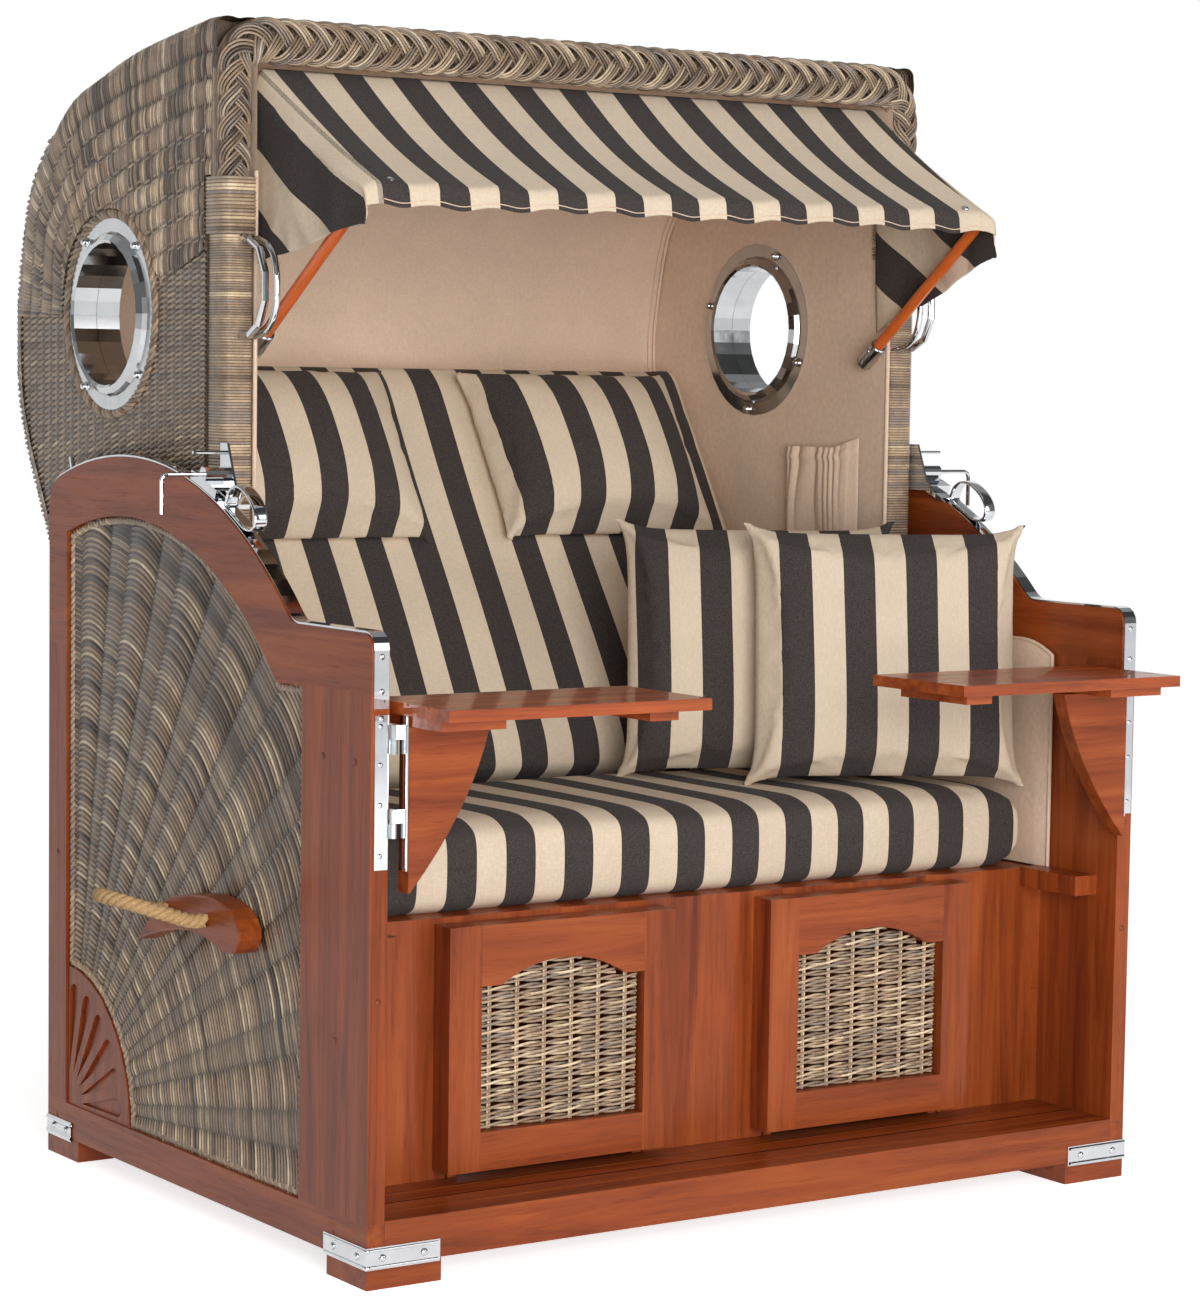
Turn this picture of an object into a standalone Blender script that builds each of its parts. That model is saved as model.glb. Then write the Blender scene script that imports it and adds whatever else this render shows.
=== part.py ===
# Hooded beach chair for two: a mahogany base with wicker sides and two pull-out
# footrests, and a wicker hood that leans back on two pivot bolts.
# Metres, +Z up. +X is the right hand of someone facing the chair, -Y its front.
# y is counted from the middle of the base until the last empty shifts the whole.
import math

import bmesh
import bpy
from mathutils import Matrix, Vector

for old in list(bpy.data.objects):
    bpy.data.objects.remove(old, do_unlink=True)

# Clearances
gap = 0.0003                    # between pieces that touch
overrun = 0.012                 # how far a cutter runs past what it cuts
weld = 0.001                    # how far two shapes of one piece run into each other

# Base
base_width = 1.25
base_depth = 0.924
panel_thickness = 0.025
foot_height = 0.03
foot_width = 0.108
foot_depth = 0.1
arm_height = 0.816
arm_corner_radius = 0.02
arm_fillet_radius = 0.035
rear_corner_radius = 0.045
front_stile = 0.175
rear_stile = 0.058
bottom_rail = 0.05
top_rail = 0.082
opening_step = 0.078            # depth of the rail under the arm
wicker_recess = 0.004
wicker_thickness = 0.016
fan_radius = 0.2
rib_first_angle = 82.2
rib_widths = ((6.1, 1.0), (4.2, 0.6))    # degrees and how full: a wide rib, then a narrow one
rib_depth = 0.0045
fan_recess = 0.003
flute_depth = 0.005
flute_count = 6

# The hood turns about this line; the top of each side panel is an arc round it
pivot_back = 0.22               # behind the middle of the base
pivot_height = 0.34
rail_rise = 0.198               # the top of the arc above the arm
bolt_radius = 0.008
bolt_head_radius = 0.016
bolt_head_height = 0.008
lug_radius = 0.04

# Chrome strip on the panel edge
strip_thickness = 0.0025
strip_width = 0.021
strip_drop = 0.092              # how far it runs down in front, below the arm
hole_length = 0.022
hole_width = 0.009
hole_count = 6
hole_first_angle = 32.4         # degrees forward of straight above the pivot
hole_pitch_angle = 7.0
stop_pin_radius = 0.004
stop_pin_height = 0.02
stop_pin_angle = 16.4           # degrees behind straight above the pivot

# Corner straps
strap_low = 0.026
strap_height = 0.028
strap_arm = 0.105
strap_thickness = 0.002

# Seat box
step_depth = 0.162              # from the front of the base to the box
board_thickness = 0.022
step_height = 0.085
seat_height = 0.43
seat_board_thickness = 0.02
seat_back = 0.15                # rear edge of the seat board
bearer_thickness = 0.0147
bearer_depth = 0.16
bearer_root = 0.002             # how far the bearer is let into the panel
rear_wall_height = 0.395
slat_count = 4
slat_groove = 0.003
slat_groove_depth = 0.003
ledge_width = 0.04
ledge_length = 0.12
ledge_low = 0.404
ledge_high = 0.432
liner_thickness = 0.01
liner_front = -0.32
liner_back = 0.3
liner_drop = 0.056              # from the arm down to the liner's top
liner_corner = 0.03

# Footrests
door_inner = 0.08               # from the middle of the chair to the door
door_width = 0.354
door_low = 0.099
door_height = 0.323
door_thickness = 0.04
door_stile = 0.049
door_bottom_rail = 0.051
door_spring = 0.342             # height at which the arch starts
door_rise = 0.029
door_shoulder = 0.03
door_wicker_thickness = 0.012
door_wicker_recess = 0.012
tray_length = 0.42
tray_wall = 0.014
tray_margin = 0.023             # door edge to tray side
tray_clearance = 0.003
tray_top = 0.402

# Folding tables
table_length = 0.387
table_inset = 0.033             # from the base's side
table_depth = 0.194
table_overhang = 0.128          # in front of the base
table_drop = 0.084              # from the arm down to the table's top
table_thickness = 0.015
rest_width = 0.1
rest_margins = (0.03, 0.024)    # at the table's front and back
rest_thickness = 0.014
cleat_inset = 0.03
cleat_width = 0.044
bracket_clear = 0.002           # in front of the base
bracket_thickness = 0.026
bracket_reach = 0.117
bracket_height = 0.235          # from the table's top down to the bracket's foot
pin_inset = 0.028
pin_proud = 0.006
pin_to_bracket = 0.01
knuckle_radius = 0.005
knuckle_length = 0.018
knuckle_rises = (0.161, 0.057)  # above the foot of the leaf
leaf_thickness = 0.0025
leaf_width = 0.019
leaf_drop = 0.207               # from the table's top down to the leaf's foot
leaf_height = 0.191
web_thickness = 0.0024

# Hood
overall_height = 1.606
hood_overhang = 0.194           # behind the base
hood_play = 0.015               # between the side panel and the hood
post_width = 0.045
post_depth = 0.055
post_foot = 0.565
rim_overhang = 0.007
rim_height = 0.066
rim_corner = 0.05
braid_length = 0.221            # of the braid that comes down each post, from the top
frame_round = 0.01
hood_skin = 0.03
band_pitch = 0.035
band_rise = 0.0032
# the lower edge of the hood's upper side weave: share of the run back along the outline, bearing about
# the porthole in degrees, distance from it as a share of its flange
patch_edge_shares = ((0.0, 163.3, 2.19), (0.075, 163.9, 1.735), (0.16, 166, 1.2), (0.19, 155.7, 1.1),
                     (0.24, 137.2, 1.09), (0.32, 111.7, 1.085), (0.43, 84.6, 1.1), (0.55, 60.8, 1.14),
                     (0.67, 41.7, 1.17), (0.8, 24.8, 1.18), (0.92, 8.7, 1.17), (1.0, -1.1, 1.16))

# Portholes
port_back = 0.34
port_drop = 0.395               # from the top of the hood
port_radius = 0.1
tube_wall = 0.0035
flange_radius = 0.135
flange_thickness = 0.004
lip_height = 0.012
lip_width = 0.016

# Lock on each side of the hood
plate_thickness = 0.0035
plate_tall = 0.0625
plate_wide = 0.055
saddle_rear_angle = 16.5
saddle_front_angle = 22.8
plate_angle = 20.25
saddle_height = 0.013
saddle_clear = 0.0008
boss_radius = 0.01
boss_rise = 0.02
boss_angle = 19.5
lever_radius = 0.003
lever_reach = 0.06
lever_drop = 0.052
lever_bend = 0.008
peg_radius = 0.0025
peg_length = 0.05
loop_width = 0.019
loop_band = 0.005
loop_clear = 0.001
loop_hinge_angle = 24.8
loop_height = 0.042
grab_drop = 0.426               # from the top of the hood to its lower end
grab_span = 0.13
grab_reach = 0.07
grab_radius = 0.0055
grab_clear = 0.0012

# Awning
bow_radius = 0.0085
bow_clear = 0.018               # from the hood's inner side to the poles' feet
bar_narrowing = 0.011           # the bar in front is this much shorter at each end
bow_pivot_y = 0.032
bow_pivot_drop = 0.439          # from the top of the hood
bow_bar_y = -0.238
bow_bar_drop = 0.242
bow_corner = 0.02
socket_radius = 0.0105
socket_length = 0.03
stud_radius = 0.006
cloth_thickness = 0.0025
cloth_inset = 0.003             # from the poles' feet to the seam's end
cloth_bar_inset = 0.015
cloth_seam_y = 0.03
valance_drop = 0.028
flap_clear = 0.0053             # from the hood's inner side
flap_rear_drops = (0.334, 0.401)    # left and right; the left one hangs higher
flap_front_drops = (0.294, 0.304)
flap_upright_share = 0.6
fold_depth = 0.004
fold_count = 5

# Cushions
crown_root = 3                  # a higher root gives flatter faces and steeper edges
cushion_front_clear = 0.003     # behind the front of the seat box
cushion_overhang = 0.022        # behind the seat board
cushion_side_clear = 0.014
cushion_height = 0.112
back_foot_set = 0.002           # behind the seat board
back_foot_rise = 0.011          # above the seat cushion
back_headroom = 0.4594          # from the back cushion's end to the top of the hood
back_side_clear = 0.007
back_thickness = 0.085
back_lean = 32.0                # degrees from upright
head_width = 0.405
head_height = 0.31
head_thickness = 0.075
head_set = 0.0065               # from the middle of the half cushion inwards
head_top_share = 0.968          # of the back cushion's length
pillow_width = 0.415
pillow_height = 0.39
pillow_thickness = 0.085
pillow_lean = 5.0
pillow_turn = -26.7
front_pillow = (0.229, -0.18)   # in from the base's side, behind the middle
rear_pillow = (0.339, -0.014)

# Carry handles
block_out = 0.035
block_length = 0.295
block_tall = 0.086
block_tail = 0.116              # rear tip, behind the middle of the base
block_low = 0.36
rope_radius = 0.01
rope_middle = -0.0275
rope_height = 0.415
# out from the block, back from the middle of the loop, up
rope_points = ((0.0, -0.0575, 0.0), (0.021, -0.0575, 0.0), (0.0605, -0.0575, 0.013),
               (0.0893, -0.05, 0.0225), (0.1103, -0.029, 0.0295), (0.118, 0.0, 0.032),
               (0.1103, 0.029, 0.0295), (0.0893, 0.05, 0.0225),
               (0.0605, 0.0575, 0.013), (0.021, 0.0575, 0.0), (0.0, 0.0575, 0.0))

# Worked out from the sizes above
half_width = base_width / 2
half_depth = base_depth / 2
inner_face = half_width - panel_thickness
box_front_y = -half_depth + step_depth
bearer_face = inner_face - bearer_thickness
bearer_top = seat_height - seat_board_thickness
hood_half = inner_face - hood_play
hood_inner = hood_half - post_width
hood_back = half_depth + hood_overhang
rim_half = hood_half + rim_overhang
rim_start = overall_height - braid_length
port_joint = hood_inner + post_width / 2
port_height = overall_height - port_drop
rail_radius = arm_height + rail_rise - pivot_height
rail_top = rail_radius + gap + strip_thickness
table_top = arm_height - table_drop
table_front = -half_depth - table_overhang
table_back = table_front + table_depth
table_outer = half_width - table_inset
table_inner = table_outer - table_length
bracket_back = -half_depth - bracket_clear
bracket_front = bracket_back - bracket_thickness
pin_out = half_width - pin_inset
pin_front = -half_depth - pin_proud
bracket_end = pin_out - pin_to_bracket
leaf_low = table_top - leaf_drop
bow_half = hood_inner - bow_clear
bar_half = bow_half - bar_narrowing
bow_pivot_z = overall_height - bow_pivot_drop
bow_bar_z = overall_height - bow_bar_drop
lean = math.radians(back_lean)
back_half = hood_inner - back_side_clear
back_foot_y = seat_back + back_foot_set
back_foot_z = seat_height + cushion_height + back_foot_rise
back_length = (overall_height - back_headroom - back_foot_z) / math.cos(lean)
up_back = Vector((0, math.sin(lean), math.cos(lean)))
off_back = Vector((0, -math.cos(lean), math.sin(lean)))
wicker_face = half_width - panel_thickness + wicker_recess + wicker_thickness
block_face = wicker_face + gap + block_out
board_end = Vector((0, back_foot_y, back_foot_z)) - off_back * (back_thickness + gap)
board_thickness_along = 2.7 * hood_skin
bore_radius = (bolt_radius + gap) / math.cos(math.pi / 16)
centre_depth = (table_front + hood_back) / 2

finishes = {
    "mahogany": ((0.33, 0.075, 0.022), 0.28, 0.0),
    "wicker": ((0.20, 0.155, 0.115), 0.55, 0.0),
    "chrome": ((0.78, 0.79, 0.80), 0.12, 1.0),
    "steel": ((0.62, 0.63, 0.64), 0.22, 1.0),
    "stripe": ((0.45, 0.36, 0.28), 0.9, 0.0),
    "lining": ((0.50, 0.38, 0.29), 0.85, 0.0),
    "rope": ((0.62, 0.45, 0.25), 0.9, 0.0),
    "pole": ((0.55, 0.14, 0.03), 0.35, 0.0),
}


def finish_for(name, finish):
    colour, roughness, metallic = finishes[finish]
    material = bpy.data.materials.new(name)
    material.use_nodes = True
    shader = material.node_tree.nodes["Principled BSDF"]
    shader.inputs["Base Color"].default_value = (*colour, 1.0)
    shader.inputs["Roughness"].default_value = roughness
    shader.inputs["Metallic"].default_value = metallic
    return material


# Empties: the whole chair, and one on the axis of each moving body
def make_empty(name, place=(0, 0, 0), parent=None):
    empty = bpy.data.objects.new(name, None)
    bpy.context.scene.collection.objects.link(empty)
    empty.location = place
    empty.parent = parent
    return empty


whole = make_empty("chair", (0, -centre_depth, 0))
pivots = {"base": (whole, Vector())}


def add_body(name, place, parent="base"):
    holder, origin = pivots[parent]
    place = Vector(place)
    pivots[name] = (make_empty(name, place - origin, holder), place)


def rail_point(angle, radius, x=0.0):
    # angle in degrees forward of straight above the hood's pivot
    turn = math.radians(angle)
    return Vector((x, pivot_back - radius * math.sin(turn), pivot_height + radius * math.cos(turn)))


boss_point = rail_point(boss_angle, rail_top + boss_rise)
loop_point = rail_point(loop_hinge_angle, rail_top + loop_clear + loop_band / 2)
add_body("hood_pivot", (0, pivot_back, pivot_height))
add_body("awning_pivot", (0, bow_pivot_y, bow_pivot_z), "hood_pivot")
for side, hand in ((-1, "left"), (1, "right")):
    add_body("footrest_" + hand, (side * (door_inner + door_width / 2), box_front_y, door_low))
    add_body("table_" + hand, (side * pin_out, pin_front, leaf_low))
    add_body("lever_" + hand, (side * half_width, boss_point.y, boss_point.z), "hood_pivot")
    add_body("loop_" + hand, (side * half_width, loop_point.y, loop_point.z), "hood_pivot")


# Shapes
def place_mesh(name, mesh, body, finish=None):
    holder, origin = pivots[body]
    mesh.transform(Matrix.Translation(-origin))
    piece = bpy.data.objects.new(name, mesh)
    bpy.context.scene.collection.objects.link(piece)
    piece.parent = holder
    if finish:
        piece.data.materials.append(finish_for(name, finish))
    return piece


def solid(name, shape, body, finish=None, smooth=False):
    bmesh.ops.remove_doubles(shape, verts=shape.verts, dist=gap / 30)
    bmesh.ops.recalc_face_normals(shape, faces=shape.faces)
    if shape.calc_volume(signed=True) < 0:
        bmesh.ops.reverse_faces(shape, faces=shape.faces)
    mesh = bpy.data.meshes.new(name)
    shape.to_mesh(mesh)
    shape.free()
    if smooth:
        mesh.shade_smooth()
        mesh.set_sharp_from_angle(angle=math.radians(40))
    return place_mesh(name, mesh, body, finish)


def as_point(axis, along, first, second):
    # axis 0: outline is (y, z); axis 1: (x, z); axis 2: (x, y)
    return {0: (along, first, second), 1: (first, along, second), 2: (first, second, along)}[axis]


def prism(name, outline, axis, low, high, body, finish=None, smooth=False):
    shape = bmesh.new()
    low, high = min(low, high), max(low, high)
    start = [shape.verts.new(as_point(axis, low, *p)) for p in outline]
    end = [shape.verts.new(as_point(axis, high, *p)) for p in outline]
    shape.faces.new(start)
    shape.faces.new(end)
    for i in range(len(outline)):
        j = (i + 1) % len(outline)
        shape.faces.new((start[i], start[j], end[j], end[i]))
    return solid(name, shape, body, finish, smooth)


def block(name, x_span, y_span, z_span, body, finish=None):
    near, far = y_span
    low, high = z_span
    outline = [(near, low), (far, low), (far, high), (near, high)]
    return prism(name, outline, 0, x_span[0], x_span[1], body, finish)


def band(name, inner, outer, axis, low, high, body, finish=None):
    # a strip between two open lines of as many points, such as a bent metal strap
    shape = bmesh.new()
    rings = []
    for p, q in zip(inner, outer):
        corners = ((low, p), (high, p), (high, q), (low, q))
        rings.append([shape.verts.new(as_point(axis, along, *point)) for along, point in corners])
    for a, b in zip(rings, rings[1:]):
        for i in range(4):
            j = (i + 1) % 4
            shape.faces.new((a[i], a[j], b[j], b[i]))
    shape.faces.new(rings[0])
    shape.faces.new(rings[-1])
    return solid(name, shape, body, finish)


def tube(name, points, radius, body, finish=None, sides=10):
    points = [Vector(p) for p in points]
    shape = bmesh.new()
    rings = []
    turn = None
    for i, point in enumerate(points):
        ahead = (points[min(i + 1, len(points) - 1)] - points[max(i - 1, 0)]).normalized()
        if turn is None:
            turn = ahead.orthogonal().normalized()
        turn = (turn - ahead * turn.dot(ahead)).normalized()
        across = ahead.cross(turn)
        ring = []
        for k in range(sides):
            a = 2 * math.pi * k / sides
            ring.append(shape.verts.new(point + radius * (math.cos(a) * turn + math.sin(a) * across)))
        rings.append(ring)
    for a, b in zip(rings, rings[1:]):
        for i in range(sides):
            j = (i + 1) % sides
            shape.faces.new((a[i], a[j], b[j], b[i]))
    shape.faces.new(rings[0])
    shape.faces.new(rings[-1])
    return solid(name, shape, body, finish, True)


def turned(name, profile, centre, side, body, finish=None, sides=32, ring_shaped=True):
    # profile is (distance out from the middle of the chair, radius), turned about a line along X
    shape = bmesh.new()
    rings = []
    for out, radius in profile:
        ring = []
        for k in range(sides):
            a = 2 * math.pi * k / sides
            y, z = centre[0] + radius * math.cos(a), centre[1] + radius * math.sin(a)
            ring.append(shape.verts.new((side * out, y, z)))
        rings.append(ring)
    if not ring_shaped:
        shape.faces.new(rings[0])
        shape.faces.new(rings[-1])
    for a, b in zip(rings, rings[1:] + (rings[:1] if ring_shaped else [])):
        for i in range(sides):
            j = (i + 1) % sides
            shape.faces.new((a[i], a[j], b[j], b[i]))
    return solid(name, shape, body, finish, True)


def combine(piece, tool, operation):
    modifier = piece.modifiers.new(tool.name, "BOOLEAN")
    modifier.operation = operation
    modifier.solver = "EXACT"
    modifier.object = tool
    tool.hide_render = True
    tool.display_type = "WIRE"


def cut(piece, tool):
    combine(piece, tool, "DIFFERENCE")


def join(piece, tool):
    combine(piece, tool, "UNION")


def soften(piece, width, segments=1):
    bevel = piece.modifiers.new("soft edges", "BEVEL")
    bevel.width = width
    bevel.segments = segments
    bevel.limit_method = "ANGLE"
    bevel.angle_limit = math.radians(40)


# Lines
def arc(centre, radius, start, end, steps):
    angles = [math.radians(start + (end - start) * i / steps) for i in range(steps + 1)]
    return [(centre[0] + radius * math.cos(a), centre[1] + radius * math.sin(a)) for a in angles]


def bearing(point, origin):
    return math.degrees(math.atan2(point[1] - origin[1], point[0] - origin[0]))


def curve_through(points, steps):
    # Catmull-Rom through hand-chosen points
    line = []
    padded = [points[0]] + list(points) + [points[-1]]
    for i in range(1, len(padded) - 2):
        p, q, r, s = (Vector(padded[i + k]) for k in (-1, 0, 1, 2))
        for k in range(steps):
            t = k / steps
            line.append(0.5 * (2 * q + (r - p) * t + (2 * p - 5 * q + 4 * r - s) * t ** 2
                               + (3 * q - p - 3 * r + s) * t ** 3))
    line.append(Vector(points[-1]))
    return [tuple(p) for p in line]


def bezier(first, pull, last, steps):
    line = []
    for i in range(steps + 1):
        t = i / steps
        line.append(tuple(a * (1 - t) ** 2 + 2 * b * t * (1 - t) + c * t ** 2
                          for a, b, c in zip(first, pull, last)))
    return line


pivot = (pivot_back, pivot_height)


def panel_edge(offset):
    # the panel's front corner, arm, concave fillet and rail arc, then its rear corner
    front = (-half_depth + arm_corner_radius, arm_height - arm_corner_radius)
    fillet_z = arm_height + arm_fillet_radius
    reach = math.sqrt((rail_radius + arm_fillet_radius) ** 2 - (fillet_z - pivot_height) ** 2)
    fillet = (pivot_back - reach, fillet_z)
    rear_y = half_depth - rear_corner_radius
    rise = math.sqrt((rail_radius - rear_corner_radius) ** 2 - (rear_y - pivot_back) ** 2)
    rear = (rear_y, pivot_height + rise)
    line = arc(front, arm_corner_radius + offset, 180, 90, 4)
    line += arc(fillet, arm_fillet_radius - offset, -90, bearing(pivot, fillet), 4)
    line += arc(pivot, rail_radius + offset, bearing(fillet, pivot), bearing(rear, pivot), 24)[1:]
    corner = arc(rear, rear_corner_radius + offset, bearing(rear, pivot), 0, 6)[1:]
    return line, corner


def opening_edge(inset):
    front = -half_depth + front_stile + inset
    low = foot_height + bottom_rail
    rear = half_depth - rear_stile
    radius = rail_radius - top_rail - inset
    step = arm_height - opening_step - inset
    start = (pivot_back - math.sqrt(radius ** 2 - (step - pivot_height) ** 2), step)
    end = (rear - inset, pivot_height + math.sqrt(radius ** 2 - (rear - inset - pivot_back) ** 2))
    lost = math.degrees(math.asin(inset / (fan_radius + inset)))
    line = [(front, low + inset), (front, step)]
    line += arc(pivot, radius, bearing(start, pivot), bearing(end, pivot), 16)
    line += arc((rear, low), fan_radius + inset, 90 + lost, 180 - lost, 8)
    return line


def span(side, near, far):
    return (min(side * near, side * far), max(side * near, side * far))


# Base
def side_frame(side, hand):
    line, corner = panel_edge(0)
    outline = [(-half_depth, foot_height)] + line + corner + [(half_depth, foot_height)]
    frame = prism("side_frame_" + hand, outline, 0, side * inner_face, side * half_width, "base", "mahogany")
    x_cut = span(side, inner_face - overrun, half_width + overrun)
    cut(frame, prism("opening cutter " + hand, opening_edge(0), 0, *x_cut, "base"))

    corner_point = (half_depth - rear_stile, foot_height + bottom_rail)
    sector = [corner_point] + arc(corner_point, fan_radius + overrun, 90, 180, 8)
    x_cut = span(side, half_width - fan_recess, half_width + overrun)
    cut(frame, prism("fan recess " + hand, sector, 0, *x_cut, "base"))
    x_cut = span(side, half_width - fan_recess - flute_depth, half_width + overrun)
    inner_share, outer_share, spread = 0.24, 0.82, 4.6
    for k in range(flute_count):
        middle = 90 + 90 * (k + 0.5) / flute_count
        flute = arc(corner_point, fan_radius * inner_share, middle, middle, 1)[:1]
        flute += arc(corner_point, fan_radius * outer_share, middle - spread, middle - spread, 1)[:1]
        end = arc(corner_point, fan_radius * outer_share, middle, middle, 1)[0]
        half = fan_radius * outer_share * math.sin(math.radians(spread))
        flute += arc(end, half, middle - 60, middle + 60, 4)
        flute += arc(corner_point, fan_radius * outer_share, middle + spread, middle + spread, 1)[:1]
        cut(frame, prism(f"flute {k} {hand}", flute, 0, *x_cut, "base"))

    rear = half_depth - rear_stile + overrun
    x_span = span(side, bearer_face, inner_face + bearer_root)
    bearer = block("bearer " + hand, x_span, (box_front_y + gap, rear),
                   (bearer_top - bearer_depth, bearer_top), "base")
    join(frame, bearer)
    x_span = span(side, inner_face - ledge_width, inner_face + bearer_root)
    ledge_rear = box_front_y - gap
    y_span = (ledge_rear - ledge_length, ledge_rear)
    join(frame, block("ledge " + hand, x_span, y_span, (ledge_low, ledge_high), "base"))
    x_run = (bearer_face - overrun, inner_face + bearer_root)
    cut(frame, rod("bearer bore " + hand, x_run, bore_radius, pivot, side, "base", 16))


def rod(name, x_run, radius, centre, side, body, sides, finish=None):
    outline = arc(centre, radius, 0, 360, sides)[:-1]
    return prism(name, outline, 0, *span(side, *x_run), body, finish, True)


def side_wicker(side, hand):
    x_span = span(side, inner_face + wicker_recess, wicker_face)
    panel = prism("side_wicker_" + hand, opening_edge(gap), 0, *x_span, "base", "wicker")
    # ribs that spread from the lower rear corner, a wide one and a narrow one in turn
    centre = (half_depth - rear_stile, foot_height + bottom_rail)
    angle, marks = rib_first_angle, []
    while angle < 190:
        for wide, crest in rib_widths:
            marks += [(angle, 0), (angle + wide / 4, crest), (angle + wide * 3 / 4, crest)]
            angle += wide
    face, back = [], []
    for radius in (fan_radius / 2, rail_radius * 2):
        turns = [math.radians(mark[0]) for mark in marks]
        spots = [(centre[0] + radius * math.cos(a), centre[1] + radius * math.sin(a)) for a in turns]
        outs = [wicker_face - rib_depth * (1 - mark[1]) for mark in marks]
        face.append([(side * out, *p) for out, p in zip(outs, spots)])
        back.append([(side * inner_face, *p) for p in spots])
    combine(panel, slab("ribs " + hand, face, back, "base"), "INTERSECT")


def arm_rail(side, hand):
    inner, inner_corner = panel_edge(gap)
    outer, outer_corner = panel_edge(gap + strip_thickness)
    strip_low = arm_height - strip_drop
    inner = [(inner[0][0], strip_low)] + inner + inner_corner[:3]
    outer = [(outer[0][0], strip_low)] + outer + outer_corner[:3]
    middle = inner_face + panel_thickness / 2
    x_span = span(side, middle - strip_width / 2, middle + strip_width / 2)
    rail = band("arm_rail_" + hand, inner, outer, 0, *x_span, "base", "chrome")
    for k in range(hole_count):
        angle = hole_first_angle - k * hole_pitch_angle
        straight = hole_length - hole_width
        outline = arc((side * middle, straight / 2), hole_width / 2, 0, 180, 4)
        outline += arc((side * middle, -straight / 2), hole_width / 2, 180, 360, 4)
        tool = prism(f"hole {k} {hand}", outline, 2, rail_radius - overrun, rail_top + overrun, "base")
        tool.data.transform(Matrix.Rotation(math.radians(angle), 4, "X"))
        tool.data.transform(Matrix.Translation((0, pivot_back, pivot_height)))
        cut(rail, tool)
    foot = rail_point(-stop_pin_angle, rail_top - weld, side * middle)
    head = rail_point(-stop_pin_angle, rail_top + stop_pin_height, side * middle)
    join(rail, tube("stop pin " + hand, (foot, head), stop_pin_radius, "base", sides=8))


def corner_strap(side, name):
    def corner(out):
        edge_x, edge_y = side * (half_width + out), -half_depth - out
        arm_x, arm_y = side * (half_width - strap_arm), strap_arm - half_depth
        return [(edge_x, arm_y), (edge_x, edge_y), (arm_x, edge_y)]
    high = strap_low + strap_height
    band(name, corner(gap), corner(gap + strap_thickness), 2, strap_low, high, "base", "chrome")


def foot(side, end, name):
    x_span = span(side, half_width - foot_width, half_width)
    y_span = span(end, half_depth - foot_depth, half_depth)
    block(name, x_span, y_span, (0, foot_height - gap), "base", "mahogany")


def grooved_top(front, back, top, count):
    # a top line, from front to back, with a groove between every two slats
    line = [(front, top)]
    pitch = (back - front) / count
    for k in range(1, count):
        middle = front + k * pitch
        line += [(middle - slat_groove / 2, top), (middle - slat_groove / 2, top - slat_groove_depth),
                 (middle + slat_groove / 2, top - slat_groove_depth), (middle + slat_groove / 2, top)]
    return line + [(back, top)]


def floor_board():
    back = half_depth - board_thickness - gap
    under = step_height - board_thickness
    outline = [(-half_depth, foot_height)] + grooved_top(-half_depth, box_front_y, step_height, slat_count)
    outline += [(back, step_height), (back, under)]
    outline += [(-half_depth + board_thickness, under), (-half_depth + board_thickness, foot_height)]
    prism("floor_board", outline, 0, -inner_face + gap, inner_face - gap, "base", "mahogany")


def rear_wall():
    block("rear_wall", (-inner_face + gap, inner_face - gap), (half_depth - board_thickness, half_depth),
          (foot_height, rear_wall_height), "base", "mahogany")


def box_front():
    # a top rail with stiles under it; the footrests slide through the openings between them
    low = step_height + gap
    edge = inner_face - gap
    notch_x = bearer_face - gap
    notch_low, notch_high = bearer_top - bearer_depth - gap, bearer_top + gap
    way_in = door_inner + tray_margin - tray_clearance
    way_out = door_inner + door_width - tray_margin + tray_clearance
    way_top = tray_top + tray_clearance
    half = [(way_in, low), (way_in, way_top), (way_out, way_top), (way_out, low), (edge, low),
            (edge, notch_low), (notch_x, notch_low), (notch_x, notch_high), (edge, notch_high),
            (edge, seat_height)]
    outline = half + [(-x, z) for x, z in reversed(half)]
    prism("box_front", outline, 1, box_front_y, box_front_y + board_thickness, "base", "mahogany")


def seat_board():
    y_span = (box_front_y + board_thickness + gap, seat_back)
    block("seat_board", (-inner_face + gap, inner_face - gap), y_span,
          (bearer_top + gap, seat_height), "base", "mahogany")


def side_liner(side, hand):
    low = ledge_high + gap
    liner_top = arm_height - liner_drop
    outline = [(liner_front, low), (liner_back, low), (liner_back, liner_top)]
    outline += arc((liner_front + liner_corner, liner_top - liner_corner), liner_corner, 90, 180, 4)
    x_span = span(side, inner_face - gap - liner_thickness, inner_face - gap)
    soften(prism("side_liner_" + hand, outline, 0, *x_span, "base", "lining"), liner_thickness / 4)


def pivot_bolt(side, hand):
    name = "pivot_bolt_" + hand
    head = hood_inner - gap
    tip = inner_face + bearer_root - gap
    profile = [(head - bolt_head_height, bolt_head_radius / 2),
               (head - bolt_head_height / 2, bolt_head_radius), (head, bolt_head_radius),
               (head, bolt_radius), (tip, bolt_radius)]
    turned(name, profile, pivot, side, "base", "steel", 16, False)


# Footrests
def door_opening(side, inset):
    near = door_inner + door_stile + inset
    far = door_inner + door_width - door_stile - inset
    low = door_low + door_bottom_rail + inset
    half = (far - near) / 2 - door_shoulder
    radius = (half ** 2 + door_rise ** 2) / (2 * door_rise)
    centre = (side * (near + far) / 2, door_spring + door_rise - inset - radius)
    reach = side * math.degrees(math.asin(half / radius))
    top = arc(centre, radius, 90 - reach, 90 + reach, 12)
    corners = [(side * near, low), (side * far, low), (side * far, top[0][1])]
    return corners + top + [(side * near, top[-1][1])]


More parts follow.
